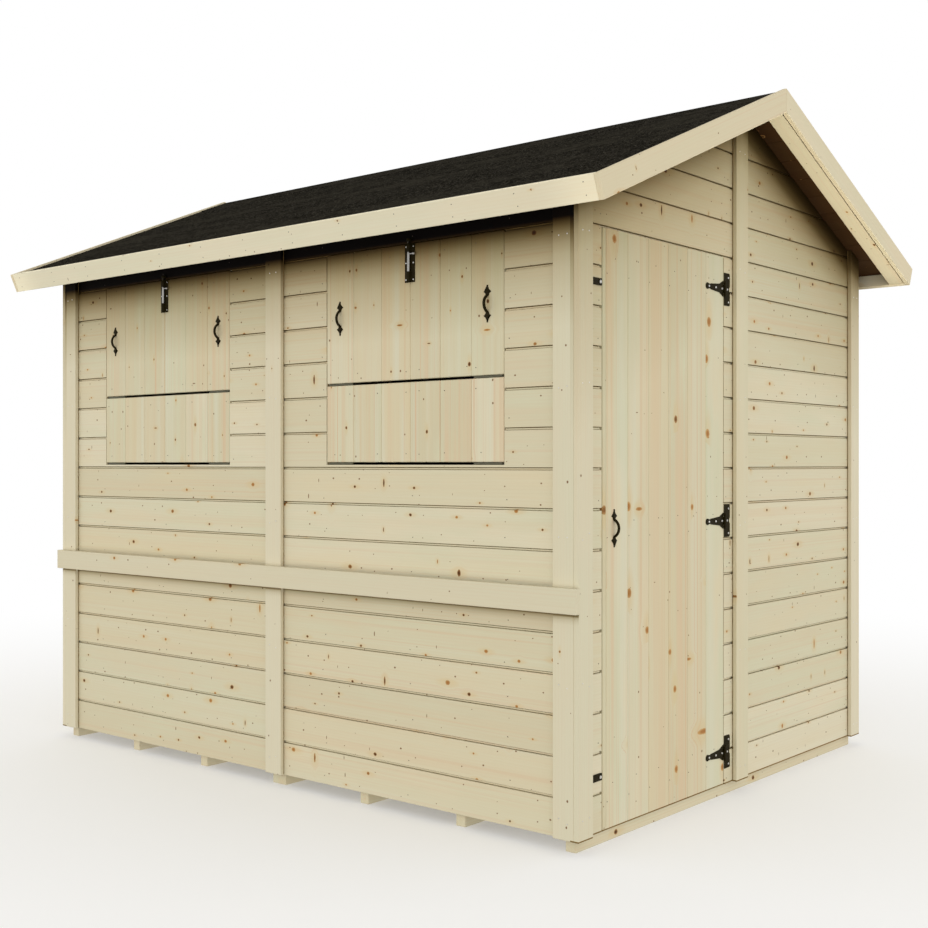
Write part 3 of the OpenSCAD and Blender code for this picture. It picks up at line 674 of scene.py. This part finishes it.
def saw(bm, normal, places):
    """Cuts a mesh into boards with planes square to normal, and closes the cuts."""
    for place in places:
        bmesh.ops.split_edges(bm, edges=cut_line(bm, normal * place, normal))
    bmesh.ops.holes_fill(bm, edges=[edge for edge in bm.edges if edge.is_boundary], sides=0)
    bmesh.ops.recalc_face_normals(bm, faces=bm.faces)


def slab(points, run):
    """A solid: a flat outline, run along a vector."""
    bm = bmesh.new()
    face = bm.faces.new([bm.verts.new(point) for point in points])
    far = bmesh.ops.extrude_face_region(bm, geom=[face])["geom"]
    bmesh.ops.translate(bm, verts=[g for g in far if isinstance(g, bmesh.types.BMVert)], vec=run)
    bmesh.ops.recalc_face_normals(bm, faces=bm.faces)
    return bm


def sawn_boards(node, finish, slot, across, places, body="root", vee=0.0015, along=None):
    """A CAD slab cut into boards at some places along across, with V joints between them."""
    bm = copy_of(node)
    saw(bm, across, places)
    soften(bm, vee)
    for verts in solids(bm):
        low, high = corners(verts)
        middle = ((low + high) / 2).dot(across)
        board = random.Random("%s %d" % (node, round(middle * 1000)))
        own_along, own_across = (along, across) if along else board_axes(verts)
        mark_grain(bm, verts, own_along, own_across, board)
    return build(node + "_boards", bm, finish, body, slot, node)


# ---- Shiplap walls ----

# How far nails keep from a board's end, from the edge of the wall's solid and from the roof's slope, how far
# they stray along the wall from the middle of a stud, and the part of a row that they stand in.
NAIL_END, NAIL_EDGE, NAIL_SLOPE, NAIL_STRAY, NAIL_ROW = 0.012, 0.008, 0.03, 0.012, (0.10, 0.26)


def shiplap_outline(cover, thickness):
    """The section of a wall board: height first, then depth from its face."""
    b = boards_set()
    a, r, q, top = b.arris, b.recess, b.quirk, cover - b.recess_width
    gap = cover - b.gap
    return [(0.0, thickness), (0.0, a), (a * 0.6, 0.0), (top - a, 0.0), (top, a), (top, r + q * 2),
            (top + q, r + q * 2), (top + q, r), (gap, r), (gap, r * 1.6), (cover, r * 1.6),
            (cover, thickness)]


def trim_to(bm, point, normal):
    """Cuts away what lies beyond a plane, and closes the cut."""
    line = cut_line(bm, point, normal, clear=True)
    if line:
        bmesh.ops.edgenet_fill(bm, edges=line)


def add_to(whole, part):
    """Moves a mesh into a larger one."""
    carrier = bpy.data.meshes.new("carrier")
    part.to_mesh(carrier)
    part.free()
    whole.from_mesh(carrier)
    bpy.data.meshes.remove(carrier)


def boarded_wall(nodes, turn, outward, key, studs, slopes=()):
    """Shiplap for the CAD nodes of one wall, nailed to its studs. In the wall's own space X runs along it
    and Y into it."""
    place = Matrix.Rotation(turn, 4, "Z") @ Matrix.Translation((0, -outward, 0))
    out = place.to_3x3() @ -Y
    back = place.inverted()
    cover, foot = wall_rows()
    spots = []
    for node in nodes:
        whole = bmesh.new()
        grain_layers(whole)
        for low, high in parts_of(node):
            a, b = back @ low, back @ high
            start, end = min(a.x, b.x), max(a.x, b.x)
            thickness = abs(b.y - a.y)
            outline = shiplap_outline(cover, thickness)
            first = int(math.floor((low.z - foot) / cover + 1e-3))
            last = int(math.ceil((high.z - foot) / cover - 1e-3))
            for row in range(first, last):
                for half, (h0, h1) in enumerate(((start, min(end, 0.0)), (max(start, 0.0), end))):
                    if h1 - h0 < MERGE:
                        continue
                    bottom = foot + row * cover
                    board = slab([(h0, depth, bottom + height) for height, depth in outline], X * (h1 - h0))
                    if bottom < low.z - MERGE:
                        trim_to(board, Z * low.z, -Z)
                    if bottom + cover > high.z + MERGE:
                        trim_to(board, Z * high.z, Z)
                    for point, normal in slopes:
                        trim_to(board, point, normal)
                    chance = random.Random("%s %d %d" % (key, row, half))
                    mark_grain(board, board.verts, X, Z, chance)
                    left, right = corners(board.verts)
                    add_to(whole, board)
                    for stud in studs:
                        height = bottom + cover * chance.uniform(*NAIL_ROW)
                        spot = Vector((stud + chance.uniform(-NAIL_STRAY, NAIL_STRAY), 0, height))
                        held = (left.x + NAIL_END < spot.x < right.x - NAIL_END
                                and low.z + NAIL_EDGE < height < high.z - NAIL_EDGE)
                        if held and all((spot - p).dot(n) <= -NAIL_SLOPE for p, n in slopes):
                            spots.append((place @ spot, out))
        build(node + "_shiplap", moved(whole, place), "shiplap", "root", "boards", node)
    nails(key.replace(" ", "_") + "_nails", spots)


def wall_rows():
    """The height that a row covers, and the height of the lowest row's foot."""
    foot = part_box("front_wall_lower")[0][2]
    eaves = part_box("front_wall_top")[1][2]
    return (eaves - foot) / boards_set().rows, foot


def upright_lines(node, axis, least_height=0.4, most_width=0.06):
    """Where the uprights of a wall's frame stand along the wall, each place once."""
    found = set()
    for low, high in parts_of(node):
        if high.z - low.z > least_height and high[axis] - low[axis] < most_width:
            found.add(round((low[axis] + high[axis]) / 2, 3))
    return sorted(found)


def gable_slopes():
    """The two planes that a gable is cut to, in a gable wall's own space."""
    points = points_of("plain_wall")
    apex, side = max(points, key=lambda c: c.z), max(points, key=lambda c: c.y * 10 + c.z)
    run, drop = side.y - apex.y, apex.z - side.z
    top = Vector((0, 0, apex.z))
    return [(top, Vector((drop, 0, run)).normalized()), (top, Vector((-drop, 0, run)).normalized())]


def pitch():
    """The slope of the roof, as an angle."""
    _, normal = gable_slopes()[0]
    return math.atan2(normal.x, normal.z)


class ShedWalls(bpy.types.Operator):
    """Board the four walls with shiplap"""

    bl_idname = "shed.walls"
    bl_label = "Wall Boards"
    half_gable = 0.43  # a line of nails between the middle of a gable and its corner

    def execute(self, context):
        out_x, out_y = wall_faces()
        slopes = gable_slopes()
        front = ["front_wall_lower", "front_wall_ends", "front_wall_middle", "front_wall_top"]
        long_studs = upright_lines("front_frame", 0)
        door_studs, plain_studs = upright_lines("door_wall_frame", 1), upright_lines("plain_wall_frame", 1)
        boarded_wall(front, 0.0, out_y, "front", long_studs)
        boarded_wall(["back_wall"], math.pi, out_y, "back", upright_lines("back_frame", 0))
        boarded_wall(["door_wall_strips", "door_wall_panel"], math.pi / 2, out_x, "door gable",
                     door_studs + [self.half_gable])
        boarded_wall(["door_wall_gable"], math.pi / 2, out_x, "door gable top", door_studs, slopes)
        boarded_wall(["plain_wall"], -math.pi / 2, out_x, "plain gable",
                     plain_studs + [-self.half_gable, self.half_gable], slopes)
        return {"FINISHED"}


class ShedHatches(bpy.types.Operator):
    """Board the hatches' flaps and panels with upright boards"""

    bl_idname = "shed.hatches"
    bl_label = "Bar Hatches"
    foot_inset, head_inset, stray = 0.026, 0.030, 0.004
    across_board = (0.14, 0.3, 0.86)

    def execute(self, context):
        b = boards_set()
        spots = []
        chance = random.Random("hatch nails")
        for node in ("hatch_flaps", "hatch_panels"):
            joints = []
            for low, high in parts_of(node):
                step = (high.x - low.x) / b.upright
                joints += even(low.x, high.x, b.upright)
                for i in range(b.upright):
                    for end in (low.z + self.foot_inset, high.z - self.head_inset):
                        along = low.x + step * (i + chance.choice(self.across_board))
                        height = end + chance.uniform(-self.stray, self.stray)
                        spots.append((Vector((along, low.y, height)), -Y))
            sawn_boards(node, "hatch_boards", "boards", X, joints, vee=b.vee, along=Z)
        nails("hatch_nails", spots)
        timber_copy("hatch_rails", "sawn_framing", "frame_timber")
        metal_copy("hatch_hinges", "olive_brass", "hinge_olive", arris=0.0004)
        return {"FINISHED"}


class ShedDoor(bpy.types.Operator):
    """Board the door, and add its ledges and braces"""

    bl_idname = "shed.door"
    bl_label = "Door"
    ledges, beside_joint = 3, 0.005
    below, above = 0.025, 0.022

    def execute(self, context):
        b = boards_set()
        low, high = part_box("door_leaf")
        joints = [high[1] - b.door_cover * (i + 1) for i in range(b.upright)]
        sawn_boards("door_leaf", "door_boards", "boards", Y, joints, body="door", vee=b.vee, along=Z)
        timber_copy("door_ledges", "sawn_framing", "frame_timber", body="door")
        chance = random.Random("door nails")
        spots = []
        for ledge_low, ledge_high in parts_of("door_ledges")[:self.ledges]:
            middle = (ledge_low.z + ledge_high.z) / 2
            for joint in joints:
                height = middle - self.below + chance.uniform(-0.002, 0.002)
                spots.append((Vector((high[0], joint + self.beside_joint, height)), X))
                along = joint + b.door_cover * chance.uniform(0.25, 0.5)
                height = middle + self.above + chance.uniform(-0.004, 0.004)
                spots.append((Vector((high[0], along, height)), X))
        nails("door_nails", spots, body="door")
        return {"FINISHED"}


class ShedTrims(bpy.types.Operator):
    """Dress the trims, the ledge, the fascias and the barge boards"""

    bl_idname = "shed.trims"
    bl_label = "Trims"
    finishes = {"gable_centre": "gable_trim", "barge": "barge_board", "fascia": "fascia_board"}
    screw_radius, screw_stray, clear_top = 0.0022, 0.01, 0.04
    screw_heights = (0.09, 0.46, 0.86, 1.27, 1.68, 2.05)
    nail_drops, nail_stray, end_gap, nail_steps = (0.017, 0.052), 0.006, 0.04, 12

    def execute(self, context):
        for node in ("front_trims", "back_trims", "gable_corner_trims", "gable_centre_trims", "bar_ledge",
                     "front_fascia", "back_fascia", "front_barge_boards", "back_barge_boards"):
            own = [finish for part, finish in self.finishes.items() if part in node]
            timber_copy(node, (own or ["planed_trim"])[0], "trim_timber", arris=0.0014)
        chance = random.Random("trim fixings")
        heads, pins = [], []
        for node, axis, inset in (("front_trims", 1, 0.30), ("back_trims", 1, 0.30),
                                  ("gable_corner_trims", 0, 0.28), ("gable_centre_trims", 0, 0.28)):
            heads += self.screw_pairs(node, axis, inset, chance)
        for node in ("front_fascia", "back_fascia"):
            pins += self.nail_pairs(node, chance)
        screws("trim_screws", heads, radius=self.screw_radius)
        nails("fascia_nails", pins)
        return {"FINISHED"}

    def screw_pairs(self, node, axis, inset, chance):
        """Two screws side by side at each height of the trims, on the face that looks out along axis."""
        across, spots = 1 - axis, []
        for low, high in parts_of(node):
            side = 1 if high[axis] > 0 else -1
            for height in self.screw_heights:
                if height > high.z - self.clear_top:
                    continue
                for share in (inset, 1 - inset):
                    place = Vector((0, 0, height + chance.uniform(-self.screw_stray, self.screw_stray)))
                    place[axis] = (high if side > 0 else low)[axis]
                    place[across] = low[across] + (high[across] - low[across]) * share
                    spots.append((place, (X, Y)[axis] * side))
        return spots

    def nail_pairs(self, node, chance):
        """Two nails, one over the other, at even steps along a fascia."""
        low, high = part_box(node)
        slope, side = pitch(), 1 if high[1] > 0 else -1
        out = Vector((0, side * math.cos(slope), -math.sin(slope)))
        down = Vector((0, -side * math.sin(slope), -math.cos(slope)))
        edge = max(points_of(node), key=lambda c: side * c.y * 10 + c.z)
        top = Vector((0, edge.y, edge.z))
        first, step = low[0] + self.end_gap, (high[0] - low[0] - 2 * self.end_gap) / self.nail_steps
        spots = []
        for i in range(self.nail_steps + 1):
            for drop in self.nail_drops:
                along = X * (first + step * i + chance.uniform(-self.nail_stray, self.nail_stray))
                spots.append((along + top + down * drop, out))
        return spots


class ShedFraming(bpy.types.Operator):
    """Dress the floor, the frames and the roof's timbers"""

    bl_idname = "shed.framing"
    bl_label = "Floor, Frames and Roof Timbers"
    floor_boards, roof_boards = 16, 10
    hair, shy = 0.001, 0.003

    def execute(self, context):
        for node in ("floor_bearers", "front_frame", "back_frame", "door_wall_frame", "plain_wall_frame",
                     "ridge_beam", "purlins"):
            timber_copy(node, "sawn_framing", "frame_timber")
        self.edge_battens()
        low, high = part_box("floor_boards")
        joints = even(low[1], high[1], self.floor_boards)
        sawn_boards("floor_boards", "sawn_framing", "frame_timber", Y, joints, along=X)
        for node, side in (("front_roof_boards", 1), ("back_roof_boards", -1)):
            slope = Vector((0, side * math.cos(pitch()), math.sin(pitch())))
            reach = [point.dot(slope) for point in points_of(node)]
            joints = even(min(reach), max(reach), self.roof_boards)
            sawn_boards(node, "roof_sheathing", "frame_timber", slope, joints, along=X)
        return {"FINISHED"}

    def edge_battens(self):
        """The battens under the gable edges of the roof, each a little shy of its barge board."""
        bm = copy_of("roof_edge_battens")
        outer = max(vert.co.x for vert in bm.verts)
        for vert in bm.verts:
            if abs(vert.co.x) > outer - self.hair:
                vert.co.x -= math.copysign(self.shy, vert.co.x)
        soften(bm, 0.0012)
        grained(bm, "battens")
        build("edge_batten_timber", bm, "planed_trim", "root", "boards", "roof_edge_battens")


class ShedFelt(bpy.types.Operator):
    """Lay the felt: a sheet on each slope, and a cap lapped over both along the ridge"""

    bl_idname = "shed.felt"
    bl_label = "Roof Felt"
    start, end = 0.002, 0.150
    bottom, thickness = -0.0072, 0.0020
    wave = 0.0012

    def execute(self, context):
        for node, side in (("front_felt", -1), ("back_felt", 1)):
            bm = copy_of(node)
            soften(bm, 0.0008)
            build(node + "_sheet", bm, "mineral_felt", "root", "felt", node)
            build(node + "_ridge_cap", self.cap(side), "mineral_felt", "root", "felt")
        return {"FINISHED"}

    def cap(self, side):
        """Half of the ridge cap: a thin sheet on one slope, with a slightly wavy lower edge."""
        slope, ridge = pitch(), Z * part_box("front_barge_boards")[1][2]
        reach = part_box("front_felt")[1][0] - 0.001
        sheet = bmesh.new()
        bmesh.ops.create_cube(sheet, size=1.0)
        bmesh.ops.scale(sheet, vec=(2 * reach, self.end - self.start, self.thickness), verts=sheet.verts)
        middle = Vector((0, (self.start + self.end) / 2, self.bottom + self.thickness / 2))
        bmesh.ops.translate(sheet, vec=middle, verts=sheet.verts)
        long = [e for e in sheet.edges if abs((e.verts[0].co - e.verts[1].co).x) > reach]
        bmesh.ops.subdivide_edges(sheet, edges=long, cuts=60)
        chance, drift = random.Random("lap %d %.2f" % (side, self.end)), {}
        for vert in sheet.verts:
            key = round(vert.co.x, 3)
            drift.setdefault(key, chance.uniform(-self.wave, self.wave))
            if vert.co.y > self.end - self.wave / 2:
                vert.co.y += drift[key]
        down = Vector((0, side * math.cos(slope), -math.sin(slope)))
        off = Vector((0, side * math.sin(slope), math.cos(slope)))
        moved(sheet, Matrix.Translation(ridge) @ Matrix((X, down, off)).transposed().to_4x4())
        bmesh.ops.recalc_face_normals(sheet, faces=sheet.faces)
        return sheet


class ShedHandles(bpy.types.Operator):
    """Forge the pull handles: a bowed bar between two arrow-shaped leaves"""

    bl_idname = "shed.handles"
    bl_label = "Pull Handles"

    def execute(self, context):
        hatch = bmesh.new()
        for low, high in parts_of("hatch_handles"):
            centre = (low + high) / 2
            self.handle(hatch, Matrix.Translation((centre.x, high.y, centre.z)), (high.z - low.z) / 2)
        build("hatch_pulls", hatch, "black_iron", "root", "black_iron", "hatch_handles", smooth=True)
        low, high = (Vector(corner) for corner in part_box("door_handle"))
        centre = (low + high) / 2
        door = bmesh.new()
        place = Matrix.Translation((low.x, centre.y, centre.z)) @ Matrix.Rotation(math.pi / 2, 4, "Z")
        self.handle(door, place, (high.z - low.z) / 2)
        build("door_pull", door, "black_iron", "door", "black_iron", "door_handle", smooth=True)
        return {"FINISHED"}

    def handle(self, whole, place, half):
        """A handle along Z on a face at Y = 0, standing out towards -Y."""
        for turn in (0, math.pi):
            add_to(whole, moved(self.leaf(half), place @ Matrix.Rotation(turn, 4, "Y")))
        add_to(whole, moved(self.bow(), place))

    def leaf(self, half):
        """An arrow-shaped leaf with a small ball at its tip, domed, with its tip at half."""
        side = [(0.0016, 0.0004), (0.0027, 0.0022), (0.0021, 0.0048), (0.0033, 0.0085), (0.0058, 0.0130),
                (0.0098, 0.0165), (0.0130, 0.0192), (0.0124, 0.0216), (0.0094, 0.0222), (0.0072, 0.0250),
                (0.0056, 0.0290), (0.0046, 0.0318)]
        side += [(-x, drop) for x, drop in reversed(side)]
        leaf = slab([(x, 0, half - drop) for x, drop in side], (0, -0.0016, 0))
        top = min(leaf.faces, key=lambda f: f.calc_center_median().y)
        bmesh.ops.inset_region(leaf, faces=[top], thickness=0.0012, depth=0.0010)
        bmesh.ops.inset_region(leaf, faces=[top], thickness=0.0016, depth=0.0007)
        return leaf

    def bow(self):
        """The bowed round bar, swept from the upper leaf to the lower one."""
        sizes = iron_sizes()
        radius = (sizes.root ** 2 + sizes.rise ** 2) / (2 * sizes.rise)
        start = math.asin(min(1.0, sizes.root / radius))
        hub = Vector((0, radius - sizes.rise, 0))
        bow = bmesh.new()
        place = Matrix.Translation(hub) @ Matrix.Rotation(-start, 4, "X")
        oval = Matrix.Translation((0, -radius, 0)) @ Matrix.Diagonal((1.12, 0.92, 1, 1))
        bmesh.ops.create_circle(bow, cap_ends=True, segments=14, radius=sizes.grip, matrix=place @ oval)
        geometry = bow.verts[:] + bow.edges[:] + bow.faces[:]
        bmesh.ops.spin(bow, geom=geometry, cent=hub, axis=X, angle=2 * start, steps=20)
        bmesh.ops.recalc_face_normals(bow, faces=bow.faces)
        return bow


class ShedIron(bpy.types.Operator):
    """Finish the tee hinges, tower bolts and turn buttons, with their screws"""

    bl_idname = "shed.iron"
    bl_label = "Hinges, Bolts and Buttons"
    metal = 0.002
    strap_holes = (0.0175, 0.0575, 0.0995)
    plate_holes = ((0.038, 0.0095), (0.0, 0.0175), (-0.040, 0.0095))
    least_plate, bolt_half, bolt_foot, bolt_head = 0.05, 0.0145, 0.008, 0.009
    bolt_screw, button_screw, button_sunk = 0.0028, 0.0043, 0.0006

    def execute(self, context):
        metal_copy("tower_bolts", "black_iron", "black_iron", arris=0.0004)
        metal_copy("bolt_rods", "drawn_rod", "bright_steel", arris=0.0003)
        metal_copy("door_hinge_straps", "black_iron", "black_iron", body="door")
        metal_copy("door_hinge_plates", "black_iron", "black_iron")
        metal_copy("upper_turn_button", "black_iron", "black_iron", body="upper_button")
        metal_copy("lower_turn_button", "black_iron", "black_iron", body="lower_button")
        metal_copy("turn_button_screws", "zinc", "bright_steel", arris=0.0003)
        self.hinge_screws()
        self.bolt_screws()
        self.button_screws()
        return {"FINISHED"}

    def hinge_screws(self):
        """Three screws in each strap and three in each plate."""
        straps, plates = [], []
        for low, high in parts_of("door_hinge_straps"):
            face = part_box("door_leaf")[1][0] + self.metal
            straps += [(Vector((face, high.y - reach, (low.z + high.z) / 2)), X)
                       for reach in self.strap_holes]
        for low, high in parts_of("door_hinge_plates"):
            face = wall_faces()[0] + self.metal
            plates += [(Vector((face, high.y - inset, (low.z + high.z) / 2 + rise)), X)
                       for rise, inset in self.plate_holes]
        screws("strap_screws", straps, body="door")
        screws("plate_screws", plates)

    def bolt_screws(self):
        """Six screws in each tower bolt's plate."""
        face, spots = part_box("hatch_panels")[0][1] - self.metal, []
        for low, high in parts_of("tower_bolts"):
            if high.z - low.z < self.least_plate:
                continue
            middle = (low.x + high.x) / 2
            for height in (low.z + self.bolt_foot, (low.z + high.z) / 2, high.z - self.bolt_head):
                for side in (-1, 1):
                    spots.append((Vector((middle + side * self.bolt_half, face, height)), -Y))
        screws("bolt_screws", spots, radius=self.bolt_screw)

    def button_screws(self):
        """The cross-recessed head on each turn button's screw."""
        spots = []
        for low, high in parts_of("turn_button_screws"):
            centre = (low + high) / 2
            spots.append((Vector((high.x - self.button_sunk, centre.y, centre.z)), X))
        screws("button_screw_heads", spots, radius=self.button_screw)


# ---- Stage ----


class ShedStage(bpy.types.Operator):
    """Set the pale floor, the soft light and the camera"""

    bl_idname = "shed.stage"
    bl_label = "Stage"
    floor_radius, fade_start, fade_end, own_glow = 60.0, 1.1, 5.4, 0.28
    horizon_light, zenith_loss, dark_below, full_above = 1.69, 1.2, -0.70, -0.20
    lamp_width, lamp_length, lamp_beam, lamp_energy = 0.13, 2.1, math.radians(10), 1.0
    lamp_outward, lamp_height = 0.06, 0.012
    eye, heading, focal_length, sensor, far_clip = (3.203, -3.760, 1.0555), math.radians(40), 50, 36, 200

    def execute(self, context):
        scene = context.scene
        scene.view_settings.view_transform = "Standard"
        self.floor()
        self.world(scene)
        self.lamps()
        self.camera(scene)
        return {"FINISHED"}

    def floor(self):
        """A round floor that glows more and more away from the shed, until it is as pale as the world."""
        bm = bmesh.new()
        bmesh.ops.create_circle(bm, cap_ends=True, segments=96, radius=self.floor_radius)
        mesh = bpy.data.meshes.new("stage_floor")
        bm.to_mesh(mesh)
        bm.free()
        piece = placed("stage_floor", mesh)
        f = Finish("stage_floor")
        reach = f.vector("LENGTH", f.place(), output="Value")
        far = f.step(reach, self.fade_start, self.fade_end) ** 0.55
        paint = f.node("ShaderNodeBsdfDiffuse", {}, {"Color": (0.98, 0.972, 0.95)})
        glow = f.node("ShaderNodeEmission", {}, {"Color": f.mix(far, (0.965, 0.955, 0.925), (1, 1, 1))})
        share = self.own_glow + far * (1 - self.own_glow)
        both = f.node("ShaderNodeMixShader", {}, {0: share, 1: paint, 2: glow})
        f.node("ShaderNodeOutputMaterial", {}, {"Surface": both})
        mesh.materials.append(f.material)
        piece.visible_diffuse = False

    def world(self, scene):
        """A white world whose light is strongest near the horizon and fades out below it."""
        scene.world = bpy.data.worlds.new("studio")
        f = Finish("studio", scene.world)
        _, _, rise = f.split(f.node("ShaderNodeTexCoord", {}, {}, "Generated"))
        seen = f.seen()
        light = self.horizon_light - f.maths("MAXIMUM", rise, 0.0) * self.zenith_loss
        light = light * f.step(rise, self.dark_below, self.full_above)
        strength = light * (1.0 - seen) + seen
        sky = f.node("ShaderNodeBackground", {}, {"Color": (1, 1, 1), "Strength": strength})
        f.node("ShaderNodeOutputWorld", {}, {"Surface": sky})

    def lamps(self):
        """A narrow strip lamp under each gable overhang, which lifts the undersides of its timbers."""
        reach = (wall_faces()[0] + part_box("front_barge_boards")[1][0]) / 2
        for side in (-1, 1):
            lamp = bpy.data.lights.new("overhang_strip", "AREA")
            lamp.shape = "RECTANGLE"
            lamp.size, lamp.size_y = self.lamp_width, self.lamp_length
            lamp.spread, lamp.energy = self.lamp_beam, self.lamp_energy
            lamp.color = (1.0, 0.96, 0.86)
            strip = placed("overhang_strip", lamp)
            strip.location = (side * (reach + self.lamp_outward), 0, self.lamp_height)
            strip.rotation_euler = (math.pi, 0, 0)
            strip.visible_camera = strip.visible_glossy = False

    def camera(self, scene):
        """A level camera at the height of the hatches, which looks at the corner by the door."""
        lens = bpy.data.cameras.new("camera")
        lens.lens, lens.sensor_width, lens.clip_end = self.focal_length, self.sensor, self.far_clip
        camera = placed("camera", lens)
        camera.location = self.eye
        camera.rotation_euler = (math.radians(90), 0, self.heading)
        scene.camera = camera


class ShedPanel(bpy.types.Panel):
    """The steps that dress the shed"""

    bl_idname = "VIEW3D_PT_bar_shed"
    bl_label = "Bar Shed"
    bl_space_type = "VIEW_3D"
    bl_region_type = "UI"
    bl_category = "Bar Shed"

    def draw(self, context):
        for key in GROUPS:
            group = getattr(context.scene, key)
            for name in group.__annotations__:
                self.layout.prop(group, name)
        for step in STEPS:
            self.layout.operator(step.bl_idname)


STEPS = (ShedStage, ShedWalls, ShedHatches, ShedDoor, ShedTrims, ShedFraming, ShedFelt, ShedHandles, ShedIron)
GROUPS = {"shed_boards": ShedBoards, "shed_iron": ShedIronSizes, "shed_colours": ShedColours}
PARTS = (*GROUPS.values(), *STEPS, ShedPanel)


def register():
    for part in PARTS:
        bpy.utils.register_class(part)
    for name, group in GROUPS.items():
        setattr(bpy.types.Scene, name, PointerProperty(type=group))


def unregister():
    for name in GROUPS:
        delattr(bpy.types.Scene, name)
    for part in reversed(PARTS):
        bpy.utils.unregister_class(part)


def main():
    register()
    bpy.ops.shed.stage()
    bpy.ops.shed.walls()
    bpy.ops.shed.hatches()
    bpy.ops.shed.door()
    bpy.ops.shed.trims()
    bpy.ops.shed.framing()
    bpy.ops.shed.felt()
    bpy.ops.shed.handles()
    bpy.ops.shed.iron()


if __name__ == "__main__":
    main()
